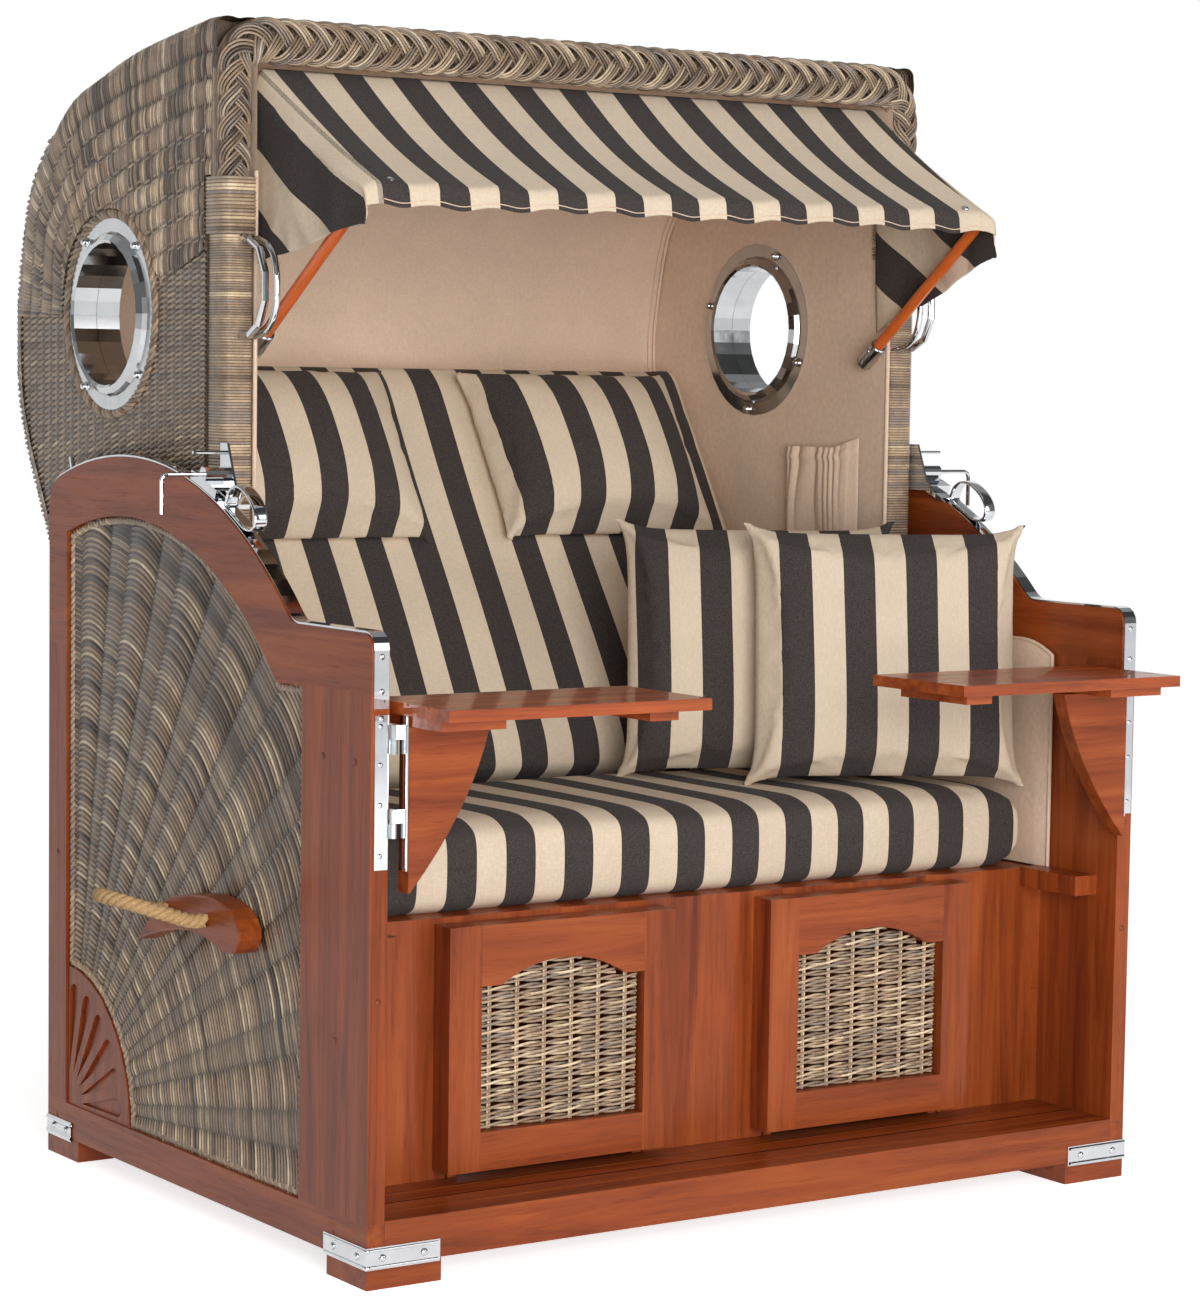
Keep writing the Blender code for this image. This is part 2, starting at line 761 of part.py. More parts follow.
def footrest(side, hand):
    body = "footrest_" + hand
    near, far = door_inner, door_inner + door_width
    back = box_front_y - gap
    front = back - door_thickness
    x_span = span(side, near, far)
    z_span = (door_low, door_low + door_height)
    door = block("door_frame_" + hand, x_span, (front, back), z_span, body, "mahogany")
    y_cut = (front - overrun, back + overrun)
    cut(door, prism("door cutter " + hand, door_opening(side, 0), 1, *y_cut, body))
    panel_front = front + door_wicker_recess
    y_span = (panel_front, panel_front + door_wicker_thickness)
    prism("door_wicker_" + hand, door_opening(side, gap), 1, *y_span, body, "wicker")

    near, far = side * (near + tray_margin), side * (far - tray_margin)
    step = side * tray_wall
    low = step_height + gap
    under = tray_top - tray_wall
    outline = [(near, low), (near, tray_top), (far, tray_top), (far, low),
               (far - step, low), (far - step, under), (near + step, under), (near + step, low)]
    prism("footrest_tray_" + hand, outline, 1, back + gap, back + tray_length, body, "mahogany")


# Folding tables
def table(side, hand):
    body = "table_" + hand
    under = table_top - table_thickness
    outline = grooved_top(table_front, table_back, table_top, slat_count)
    outline += [(table_back, under), (table_front, under)]
    x_span = span(side, table_inner, table_outer)
    top = prism("table_top_" + hand, outline, 0, *x_span, body, "mahogany")
    rest = (under - rest_thickness, under + weld)
    rest_run = (table_front + rest_margins[0], table_back - rest_margins[1])
    cleat_inner = table_inner + cleat_inset
    for name, near, far in (("rest", table_outer - rest_width, table_outer - table_thickness / 2),
                            ("cleat", cleat_inner, cleat_inner + cleat_width)):
        join(top, block(f"{name} {hand}", span(side, near, far), rest_run, rest, body))

    peak = under - rest_thickness - gap
    bracket_low = table_top - bracket_height
    bulge_shares = ((0.02, 0.0), (0.79, 0.5), (1.0, 1.0))
    tall = peak - bracket_low
    bulge = [(bracket_end - x * bracket_reach, bracket_low + z * tall) for x, z in bulge_shares]
    outline = [(bracket_end, peak), (bracket_end, bracket_low)] + bezier(*bulge, 8)
    outline = [(side * x, z) for x, z in outline]
    bracket = prism("table_bracket_" + hand, outline, 1, bracket_front, bracket_back, body, "mahogany")
    soften(bracket, web_thickness)

    pin = (side * pin_out, pin_front)
    face = -half_depth - gap
    leaf_start = pin_out + knuckle_radius + gap
    fixed_x = span(side, leaf_start, leaf_start + leaf_width)
    leaf_span = (leaf_low, leaf_low + leaf_height)
    fixed_y = (face - leaf_thickness, face)
    fixed = block("hinge_fixed_" + hand, fixed_x, fixed_y, leaf_span, "base", "chrome")
    leaf_x = span(side, bracket_end + gap, bracket_end + gap + leaf_thickness)
    web_front = pin_front - knuckle_radius
    moving_y = (bracket_front + web_thickness, web_front + web_thickness)
    moving = block("hinge_moving_" + hand, leaf_x, moving_y, leaf_span, body, "chrome")
    web_share, leaf_share = 0.9, 0.125
    fixed_web_y = (face - leaf_thickness * web_share, face - leaf_thickness * leaf_share)
    moving_web_y = (web_front + web_thickness * leaf_share, web_front + web_thickness * web_share)
    ring = arc(pin, knuckle_radius, 0, 360, 12)[:-1]
    for k, rise in enumerate(knuckle_rises):
        height = leaf_low + rise
        lower = (height - knuckle_length, height - gap / 2)
        upper = (height + gap / 2, height + knuckle_length)
        join(fixed, prism(f"fixed knuckle {k} {hand}", ring, 2, *lower, "base"))
        web_x = span(side, pin_out, leaf_start + weld)
        web_z = (lower[0] + gap, lower[1] - gap)
        join(fixed, block(f"fixed web {k} {hand}", web_x, fixed_web_y, web_z, "base"))
        join(moving, prism(f"moving knuckle {k} {hand}", ring, 2, *upper, body))
        web_x = span(side, bracket_end + gap + leaf_thickness / 2, pin_out)
        web_z = (upper[0] + gap, upper[1] - gap)
        join(moving, block(f"moving web {k} {hand}", web_x, moving_web_y, web_z, body))


# Hood
def hood_profile():
    # the hood's outline from the front of the roof over the back, then down behind the back board
    rise = overall_height - pivot_height
    shares = ((0.084, 0.994), (0.395, 0.972), (0.587, 0.948), (0.722, 0.926), (0.864, 0.87),
              (0.945, 0.812), (0.993, 0.706), (0.9986, 0.648), (0.983, 0.59), (0.939, 0.532),
              (0.849, 0.452))
    points = [(y * hood_back, pivot_height + z * rise) for y, z in shares]
    points[0] = (post_depth + gap, points[0][1])
    lower = (back_plane(board_end.z) + board_thickness_along, board_end.z - hood_skin)
    return curve_through(points, 3) + [lower]


def back_plane(height):
    # where the front face of the hood's back board is, at a height
    return board_end.y + (height - board_end.z) * math.tan(lean)


def hood_cavity(outer):
    # under the roof the outline set in by the skin, then the straight back board
    inner = []
    for i, point in enumerate(outer[:-1]):
        a, b = outer[max(i - 1, 0)], outer[i + 1]
        along = Vector((b[0] - a[0], b[1] - a[1])).normalized()
        inner.append((point[0] + along.y * hood_skin, point[1] - along.x * hood_skin))
    kept = [(post_depth - overrun, inner[0][1])]
    for a, b in zip(inner, inner[1:]):
        ahead, past = back_plane(a[1]) - a[0], back_plane(b[1]) - b[0]
        kept.append(a)
        if past < 0:
            share = ahead / (ahead - past)
            kept.append((a[0] + (b[0] - a[0]) * share, a[1] + (b[1] - a[1]) * share))
            break
    leave = board_end - off_back * (hood_back / 3)
    under = pivot_height - lug_radius - overrun
    kept += [(board_end.y, board_end.z), (leave.y, leave.z), (leave.y, under), (post_depth - overrun, under)]
    return kept


def slab(name, face, back, body):
    # a closed solid between two grids of points
    shape = bmesh.new()
    grids = [[[shape.verts.new(p) for p in row] for row in grid] for grid in (face, back)]
    for grid in grids:
        for a, b in zip(grid, grid[1:]):
            for i in range(len(a) - 1):
                shape.faces.new((a[i], a[i + 1], b[i + 1], b[i]))
    rims = []
    for grid in grids:
        line = grid[0] + [row[-1] for row in grid[1:]] + grid[-1][-2::-1]
        rims.append(line + [row[0] for row in grid[-2:0:-1]])
    for i in range(len(rims[0])):
        shape.faces.new((rims[0][i - 1], rims[0][i], rims[1][i], rims[1][i - 1]))
    return solid(name, shape, body)


def between(share, table):
    # a point of a table of (share, value, value), by its first column
    for low, high in zip(table, table[1:]):
        if share <= high[0]:
            t = (share - low[0]) / (high[0] - low[0])
            return [a + (b - a) * t for a, b in zip(low[1:], high[1:])]
    return table[-1][1:]


def band_height(distance):
    return band_rise * (1 - abs(2 * (distance / band_pitch % 1) - 1))


def roof_bands(outer):
    # raised bands of wicker, straight over the roof and down the back
    count = 2 * round(2 * hood_half / band_pitch)
    face, back = [], []
    for i, point in enumerate(outer[:-1]):
        a, b = outer[max(i - 1, 0)], outer[i + 1]
        along = Vector((b[0] - a[0], b[1] - a[1])).normalized()
        for grid, outs in ((face, (0, band_rise)), (back, (-hood_skin / 15, -hood_skin / 15))):
            row = []
            for k in range(count + 1):
                out = outs[k % 2]
                x = hood_half * (2 * k / count - 1)
                row.append((x, point[0] - along.y * out, point[1] + along.x * out))
            grid.append(row)
    return slab("roof bands", face, back, "hood_pivot")


def side_bands(outer, side):
    # the same bands round the upper side, each at one distance from the outline
    upper = [p for p in outer if p[1] > port_height]
    run = [0.0]
    for a, b in zip(upper, upper[1:]):
        run.append(run[-1] + math.dist(a, b))
    ends = []
    for length in run:
        turn, far = between(length / run[-1], patch_edge_shares)
        turn, far = math.radians(turn), far * flange_radius
        ends.append(Vector((port_back + far * math.cos(turn), port_height + far * math.sin(turn))))
    reaches = [(end - Vector(point)).length for point, end in zip(upper, ends)]
    count = int(max(reaches) / band_pitch * 2) + 2
    face, back = [], []
    for point, end, reach in zip(upper, ends, reaches):
        way = (end - Vector(point)).normalized()
        rows = ([], [])
        for k in range(count + 1):
            # past the lower edge the points close up, a gap apart
            distance = min(k * band_pitch / 2, reach - (count - k) * gap)
            spot = Vector(point) + way * distance
            rise = band_height(distance) if k else 0
            for row, out in zip(rows, (rise, -hood_skin / 15)):
                row.append((side * (hood_half + out), spot.x, spot.y))
        face.append(rows[0])
        back.append(rows[1])
    return slab("side bands", face, back, "hood_pivot")


def hood_shell():
    outer = hood_profile()
    outline = [(post_depth + gap, post_foot)] + outer
    outline += arc(pivot, lug_radius, 10, -180, 10)
    outline += [(pivot_back - lug_radius, post_foot)]
    shell = prism("hood_shell", outline, 0, -hood_half, hood_half, "hood_pivot", "wicker")
    join(shell, roof_bands(outer))
    for side in (-1, 1):
        join(shell, side_bands(outer, side))
    cut(shell, prism("cavity", hood_cavity(outer), 0, -hood_inner, hood_inner, "hood_pivot"))
    wide = hood_half + overrun
    port_cut = port_radius + tube_wall + gap
    centre = (port_back, port_height)
    cut(shell, rod("port cutter", (-wide, wide), port_cut, centre, 1, "hood_pivot", 32))
    cut(shell, rod("pivot cutter", (-wide, wide), bore_radius, pivot, 1, "hood_pivot", 16))


def hood_frame():
    top = overall_height
    under = top - rim_height
    half = [(hood_inner, post_foot), (hood_half, post_foot), (hood_half, rim_start),
            (rim_half, rim_start + (rim_half - hood_half) / 2)]
    half += arc((rim_half - rim_corner, top - rim_corner), rim_corner, 0, 90, 5)
    inner = [(-hood_inner, post_foot), (-hood_inner, under), (hood_inner, under)]
    outline = half + [(-x, z) for x, z in reversed(half)]
    outline = outline[:-1] + inner
    frame = prism("hood_frame", outline, 1, 0, post_depth, "hood_pivot", "wicker")
    soften(frame, frame_round, 2)


def porthole(side, hand):
    centre = (port_back, port_height)
    out_radius = port_radius + tube_wall
    lip_end = port_radius + lip_width
    for name, face, way, joint in (("port_outer_", hood_half + gap, 1, port_joint + gap),
                                   ("port_inner_", hood_inner - gap, -1, port_joint - gap)):
        flat = face + way * flange_thickness
        lip = flat + way * lip_height
        profile = [(joint, port_radius), (lip - way * lip_height / 4, port_radius),
                   (lip, port_radius + lip_width / 4), (lip - way * lip_height / 2, lip_end - lip_width / 4),
                   (flat, lip_end), (flat, flange_radius), (face, flange_radius),
                   (face, out_radius), (joint, out_radius)]
        turned(name + hand, profile, centre, side, "hood_pivot", "steel")


# Lock
def lock_slider(side, hand):
    body = "hood_pivot"
    low = rail_top + saddle_clear
    angles = sweep(saddle_rear_angle, saddle_front_angle, 4)
    inner = [tuple(rail_point(a, low).yz) for a in angles]
    outer = [tuple(rail_point(a, low + saddle_height).yz) for a in angles]
    plate_face = hood_half + gap
    x_span = span(side, plate_face, half_width - strap_thickness)
    slider = band("lock_slider_" + hand, inner, outer, 0, *x_span, body, "chrome")
    plate_shares = ((0.1, -0.1), (0.95, -0.1), (0.45, 1.0), (0.1, 1.0))
    peg_shares = (0.2, 0.8)
    tall, wide = plate_tall, plate_wide
    corner = rail_point(plate_angle, low)
    outline = [(corner.y + wide / 2 - y * wide, corner.z + z * tall) for y, z in plate_shares]
    plate_x = span(side, plate_face, plate_face + plate_thickness)
    join(slider, prism("plate " + hand, outline, 0, *plate_x, body))
    # an ear beside the ring handle, at its hinge
    angles = sweep(boss_angle, loop_hinge_angle + math.degrees(loop_band / rail_top), 4)
    inner = [tuple(rail_point(a, low).yz) for a in angles]
    outer = [tuple(rail_point(a, low + saddle_height / 2).yz) for a in angles]
    ear_x = span(side, plate_face, inner_face + panel_thickness / 2 - loop_width / 2 - gap)
    join(slider, band("ear " + hand, inner, outer, 0, *ear_x, body))
    boss = (boss_point.y, boss_point.z)
    join(slider, rod("boss " + hand, (plate_face + weld, half_width), boss_radius, boss, side, body, 12))
    peg = (corner.y + wide * peg_shares[0], corner.z + tall * peg_shares[1])
    peg_x = (plate_face + weld, plate_face + peg_length)
    join(slider, rod("peg " + hand, peg_x, peg_radius, peg, side, body, 8))


def sweep(first, last, steps):
    return [first + (last - first) * i / steps for i in range(steps + 1)]


def lock_lever(side, hand):
    start = Vector((side * (half_width + gap), boss_point.y, boss_point.z))
    bend = start + Vector((side * lever_reach, 0, 0))
    points = [start, bend - Vector((side * lever_bend, 0, 0))]
    corner_share = 0.3
    points += [bend - Vector((side, 0, 1)) * lever_bend * corner_share]
    points += [bend - Vector((0, 0, lever_bend)), bend - Vector((0, 0, lever_drop))]
    tube("lock_lever_" + hand, points, lever_radius, "lever_" + hand, "chrome", 10)


def lock_loop(side, hand):
    # a ring handle of flat band; its base lies just above the chrome strip
    low = rail_top + loop_clear
    middle = inner_face + panel_thickness / 2
    corner_shares = ((loop_hinge_angle, 0.0), (27.4, 0.0), (30.2, 0.0), (31.7, 0.35), (31.5, 0.75),
                     (29.4, 1.0), (26.4, 0.98), (24.9, 0.55))
    middle_low = low + loop_band / 2
    ring = [rail_point(angle, middle_low + share * loop_height).yz for angle, share in corner_shares]
    closed = [tuple(p) for p in ring]
    centre = Vector((sum(p[0] for p in closed), sum(p[1] for p in closed))) / len(closed)
    outer, inner = [], []
    for p in closed:
        away = (Vector(p) - centre).normalized() * loop_band / 2
        outer.append(tuple(Vector(p) + away))
        inner.append(tuple(Vector(p) - away))
    x_span = span(side, middle - loop_width / 2, middle + loop_width / 2)
    loop = prism("lock_loop_" + hand, outer, 0, *x_span, "loop_" + hand, "chrome")
    wide = (x_span[0] - overrun, x_span[1] + overrun)
    cut(loop, prism("loop cutter " + hand, inner, 0, *wide, "loop_" + hand))


def grab_handle(side, hand):
    # bent rod on the front of the post, to pull the hood forward again
    middle = hood_inner + post_width / 2
    grab_low = overall_height - grab_drop
    shares = ((0.0, 0.0), (0.35, 0.02), (0.75, 0.12), (1.0, 0.36),
              (1.0, 0.64), (0.75, 0.88), (0.35, 0.98), (0.0, 1.0))
    points = []
    for out, up in shares:
        y = -grab_clear - out * (grab_reach - grab_radius)
        points.append((side * middle, y, grab_low + up * grab_span))
    tube("grab_handle_" + hand, points, grab_radius, "hood_pivot", "chrome", 12)


# Awning
def awning_bow():
    body = "awning_pivot"
    foot_point = Vector((bow_half, bow_pivot_y, bow_pivot_z))
    head = Vector((bar_half, bow_bar_y, bow_bar_z))
    back_down = (foot_point - head).normalized()
    corner_share = 0.29
    inwards = Vector((-1, 0, 0))
    half = [foot_point, head + back_down * bow_corner,
            head + (back_down + inwards) * bow_corner * corner_share, head + inwards * bow_corner]
    points = half + [Vector((-p.x, p.y, p.z)) for p in reversed(half)]
    bow = tube("awning_bow", points, bow_radius, body, "pole", 12)
    for side, hand in ((-1, "left"), (1, "right")):
        sleeve = (foot_point + back_down * socket_radius, foot_point - back_down * socket_length)
        sleeve = [(side * p.x, p.y, p.z) for p in sleeve]
        join(bow, tube("socket " + hand, sleeve, socket_radius, body, sides=12))
        stud = (bow_half - weld, hood_inner - gap)
        join(bow, rod("stud " + hand, stud, stud_radius, (bow_pivot_y, bow_pivot_z), side, body, 10))


def awning_cloth():
    # one sheet: the sloping top, its valance in front and a flap at each side
    seam_z = overall_height - rim_height - gap - cloth_thickness
    over_bar = bow_bar_z + bow_radius + gap + cloth_thickness
    cloth_half = bow_half - cloth_inset
    cloth_front_half = bar_half - cloth_bar_inset
    flap_half = hood_inner - flap_clear
    stations = 6
    rows = []
    for j in range(stations + 2):
        share = min(j / stations, 1.0)
        y = cloth_seam_y + share * (bow_bar_y - bow_radius - gap - cloth_thickness - cloth_seam_y)
        z = seam_z + share * (over_bar - seam_z) - fold_depth * math.sin(math.pi * share)
        half = cloth_half + share * (cloth_front_half - cloth_half)
        if j > stations:
            y -= cloth_thickness
            z = over_bar - valance_drop
        flaps = []
        for rear_drop, front_drop in zip(flap_rear_drops, flap_front_drops):
            low = overall_height - rear_drop - share * (front_drop - rear_drop)
            flaps.append([(flap_half, low), (flap_half, low + flap_upright_share * (z - low))])
        row = [(-x, y, z_low) for x, z_low in flaps[0]]
        for k in range(2 * fold_count + 1):
            wave = fold_depth * share * math.cos(math.pi * k)
            row.append((half * (k / fold_count - 1), y + wave / 2, z - wave / 4))
        row += [(x, y, z_low) for x, z_low in reversed(flaps[1])]
        rows.append(row)
    shape = bmesh.new()
    grid = [[shape.verts.new(p) for p in row] for row in rows]
    for a, b in zip(grid, grid[1:]):
        for i in range(len(a) - 1):
            shape.faces.new((a[i], b[i], b[i + 1], a[i + 1]))
    cloth = solid("awning_cloth", shape, "hood_pivot", "stripe")
    thick = cloth.modifiers.new("cloth", "SOLIDIFY")
    thick.thickness = cloth_thickness
    thick.offset = 0


# Cushions
def cushion(name, size, thickness, frame, body, boxy, drawn, steps):
    # size is half the width and half the height; frame places it, with local Z its thickness.
    # a boxy cushion keeps its thickness nearly to the edge, a low value makes a knife edge
    shape = bmesh.new()

    def spread(count):
        return [math.sin(math.pi / 2 * (-1 + 2 * i / count)) for i in range(count + 1)]

    us, vs = spread(steps[0]), spread(steps[1])
    sheets = []
    for way in (1, -1):
        sheet = []
        for u in us:
            line = []
            for v in vs:
                full = max((1 - abs(u) ** boxy) * (1 - abs(v) ** boxy), 0.0) ** (1 / crown_root)
                x = size[0] * u * (1 - drawn * (1 - v * v) * abs(u))
                y = size[1] * v * (1 - drawn * (1 - u * u) * abs(v))
                z = way * full * thickness / 2
                line.append(shape.verts.new(frame @ Vector((x, y, z))))
            sheet.append(line)
        sheets.append(sheet)
    for sheet in sheets:
        for a, b in zip(sheet, sheet[1:]):
            for i in range(len(a) - 1):
                shape.faces.new((a[i], a[i + 1], b[i + 1], b[i]))
    return solid(name, shape, body, "stripe", True)


def seat_cushion():
    cushion_front = box_front_y + cushion_front_clear
    cushion_back = seat_back + cushion_overhang
    cushion_half = inner_face - cushion_side_clear
    middle = (cushion_front + cushion_back) / 2
    frame = Matrix.Translation((0, middle, seat_height + gap + cushion_height / 2))
    size = (cushion_half, (cushion_back - cushion_front) / 2)
    cushion("seat_cushion", size, cushion_height, frame, "base", 50, 0, (22, 16))


def leaning_frame(point):
    # local X stays along the chair, local Y runs up the back, local Z stands off it
    across = Vector((1, 0, 0))
    columns = Matrix((across, up_back, off_back)).transposed()
    return Matrix.Translation(point) @ columns.to_4x4()


def back_cushions():
    foot_point = Vector((0, back_foot_y, back_foot_z))
    middle = foot_point + up_back * back_length / 2 - off_back * back_thickness / 2
    size = (back_half, back_length / 2)
    cushion("back_cushion", size, back_thickness, leaning_frame(middle), "hood_pivot", 30, 0, (20, 18))
    for side, hand in ((-1, "left"), (1, "right")):
        point = foot_point + up_back * (back_length * head_top_share - head_height / 2)
        point += off_back * (head_thickness / 2 + gap) + Vector((side * (back_half / 2 - head_set), 0, 0))
        size = (head_width / 2, head_height / 2)
        frame = leaning_frame(point)
        cushion("head_cushion_" + hand, size, head_thickness, frame, "hood_pivot", 5, 0.04, (16, 12))


def throw_pillows():
    for name, spot in (("throw_pillow_front", front_pillow), ("throw_pillow_rear", rear_pillow)):
        turn = Matrix.Rotation(math.radians(pillow_turn), 4, "Z")
        tilt = Matrix.Rotation(math.radians(90 - pillow_lean), 4, "X")
        low = seat_height + cushion_height + gap * 2
        upright = math.cos(math.radians(pillow_lean)) * pillow_height / 2
        point = Vector((half_width - spot[0], spot[1], low + upright))
        frame = Matrix.Translation(point) @ turn @ tilt
        size = (pillow_width / 2, pillow_height / 2)
        cushion(name, size, pillow_thickness, frame, "base", 3.6, 0.07, (16, 16))


# Carry handles
def carry_handle(side, hand):
    # wooden block with a thick rope looped out of it
    shares = ((1.0, 0.0), (0.85, 0.5), (0.66, 0.85), (0.33, 1.0), (0.1, 0.9), (0.0, 0.6), (0.03, 0.32),
              (0.13, 0.2), (0.37, 0.38), (0.61, 0.35), (0.88, 0.14))
    front = block_tail - block_length
    points = [(front + along * block_length, block_low + up * block_tall) for along, up in shares]
    outline = curve_through(points + points[:1], 2)[:-1]
    x_span = span(side, wicker_face + gap, block_face)
    wood = prism("handle_block_" + hand, outline, 0, *x_span, "base", "mahogany")
    soften(wood, web_thickness)

    line = bpy.data.curves.new("rope_loop_" + hand, "CURVE")
    line.dimensions = "3D"
    line.bevel_depth = rope_radius
    line.bevel_resolution = 2
    line.use_fill_caps = True
    spline = line.splines.new("POLY")
    spline.points.add(len(rope_points) - 1)
    for place, (out, back, up) in zip(spline.points, rope_points):
        place.co = (side * (block_face + gap + out), rope_middle + back, rope_height + up, 1)
    rope = bpy.data.objects.new("rope_loop_" + hand, line)
    bpy.context.scene.collection.objects.link(rope)
    rope.parent = whole
    line.materials.append(finish_for("rope_loop_" + hand, "rope"))


for side, hand in ((-1, "left"), (1, "right")):
    side_frame(side, hand)
    side_wicker(side, hand)
    arm_rail(side, hand)
    corner_strap(side, "corner_strap_" + hand)
    for end, place in ((-1, "front"), (1, "rear")):
        foot(side, end, f"foot_{place}_{hand}")
    side_liner(side, hand)
    pivot_bolt(side, hand)
    footrest(side, hand)
    table(side, hand)
    porthole(side, hand)
    lock_slider(side, hand)
    lock_lever(side, hand)
    lock_loop(side, hand)
    grab_handle(side, hand)
    carry_handle(side, hand)
floor_board()
rear_wall()
box_front()
seat_board()
hood_shell()
hood_frame()
awning_bow()
awning_cloth()
seat_cushion()
back_cushions()
throw_pillows()
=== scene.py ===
import math
import bpy
import bmesh
import numpy as np
from mathutils import Matrix, Vector
from mathutils.bvhtree import BVHTree


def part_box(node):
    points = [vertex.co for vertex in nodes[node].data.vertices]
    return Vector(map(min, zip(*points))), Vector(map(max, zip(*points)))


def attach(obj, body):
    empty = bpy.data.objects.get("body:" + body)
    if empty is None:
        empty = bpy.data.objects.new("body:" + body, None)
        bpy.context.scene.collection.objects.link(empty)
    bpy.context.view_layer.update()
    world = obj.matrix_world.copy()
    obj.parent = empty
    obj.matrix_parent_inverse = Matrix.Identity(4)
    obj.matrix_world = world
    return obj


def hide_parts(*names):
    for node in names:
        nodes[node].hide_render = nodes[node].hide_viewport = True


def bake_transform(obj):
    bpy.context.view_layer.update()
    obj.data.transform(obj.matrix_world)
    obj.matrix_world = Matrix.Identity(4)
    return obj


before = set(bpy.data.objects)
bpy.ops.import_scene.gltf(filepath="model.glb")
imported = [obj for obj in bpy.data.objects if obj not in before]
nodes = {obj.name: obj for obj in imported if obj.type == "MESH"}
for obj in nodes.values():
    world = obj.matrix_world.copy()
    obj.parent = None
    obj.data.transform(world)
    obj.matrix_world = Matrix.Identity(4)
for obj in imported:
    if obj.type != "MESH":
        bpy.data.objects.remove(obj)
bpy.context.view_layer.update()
scene = bpy.context.scene
scene.view_settings.view_transform = "Standard"
sides = ((-1, "left"), (1, "right"))


# Camera
view = {"place": (-2.76959, -4.18703, 1.13198), "azimuth": -33.882, "elevation": 4.430, "roll": 0.827,
        "focal": 3502.5, "tall": 1298}


def placeCamera():
    az, el, roll = (math.radians(view[key]) for key in ("azimuth", "elevation", "roll"))
    back = Vector((math.sin(az) * math.cos(el), -math.cos(az) * math.cos(el), math.sin(el)))
    right = Vector((0, 0, 1)).cross(back).normalized()
    up = back.cross(right)
    columns = (right * math.cos(roll) + up * math.sin(roll), up * math.cos(roll) - right * math.sin(roll), back)
    lens = bpy.data.cameras.new("camera")
    lens.sensor_width = 36
    lens.lens = view["focal"] * 36 / view["tall"]
    lens.clip_end = 60
    eye = bpy.data.objects.new("camera", lens)
    scene.collection.objects.link(eye)
    eye.matrix_world = Matrix.Translation(view["place"]) @ Matrix(columns).transposed().to_4x4()
    scene.camera = eye


placeCamera()


# Materials
def tint(red, green, blue):
    shades = [c / 255 for c in (red, green, blue)]
    return tuple(c / 12.92 if c <= 0.04045 else ((c + 0.055) / 1.055) ** 2.4 for c in shades) + (1,)


def dimmed(shade, share):
    return tint(*(c * share for c in shade))


class Finish:
    def __init__(self, name):
        self.material = bpy.data.materials.new(name)
        self.material.use_nodes = True
        self.tree = self.material.node_tree
        self.shader = self.tree.nodes["Principled BSDF"]

    def feed(self, socket, value):
        if isinstance(value, bpy.types.Node):
            value = value.outputs[0]
        if isinstance(value, bpy.types.NodeSocket):
            self.tree.links.new(value, socket)
        else:
            socket.default_value = value

    def add(self, kind, inputs=(), **settings):
        node = self.tree.nodes.new("ShaderNode" + kind)
        for key, value in settings.items():
            setattr(node, key, value)
        for key, value in dict(inputs).items():
            self.feed(node.inputs[key], value)
        return node

    def set(self, **inputs):
        for key, value in inputs.items():
            self.feed(self.shader.inputs[key.replace("_", " ")], value)

    def maths(self, operation, *values):
        return self.add("Math", enumerate(values), operation=operation).outputs[0]

    def ramp(self, share, *stops):
        node = self.add("ValToRGB", {"Fac": share})
        marks = node.color_ramp.elements
        while len(marks) < len(stops):
            marks.new(0.5)
        for mark, (place, colour) in zip(marks, stops):
            mark.position = place
            mark.color = colour if isinstance(colour, tuple) else (colour, colour, colour, 1)
        return node.outputs[0]

    def mix(self, share, first, second, blend="MIX"):
        node = self.add("Mix", {0: share, 6: first, 7: second}, data_type="RGBA", blend_type=blend)
        return node.outputs[2]

    def times(self, colour, *shades):
        for shade in shades:
            colour = self.mix(1.0, colour, shade, "MULTIPLY")
        return colour

    def attribute(self, name):
        return self.add("Attribute", attribute_name=name).outputs["Fac"]

    def place(self, scale=(1, 1, 1)):
        spot = self.add("TexCoord").outputs["Object"]
        return self.add("Mapping", {"Vector": spot, "Scale": scale}).outputs[0]

    def noise(self, spot, scale, detail=2.0, roughness=0.5, distortion=0.0):
        return self.add("TexNoise", {"Vector": spot, "Scale": scale, "Detail": detail, "Roughness": roughness,
                                     "Distortion": distortion}).outputs["Fac"]

    def relief(self, height, strength, distance):
        self.set(Normal=self.add("Bump", {"Height": height, "Strength": strength, "Distance": distance}))


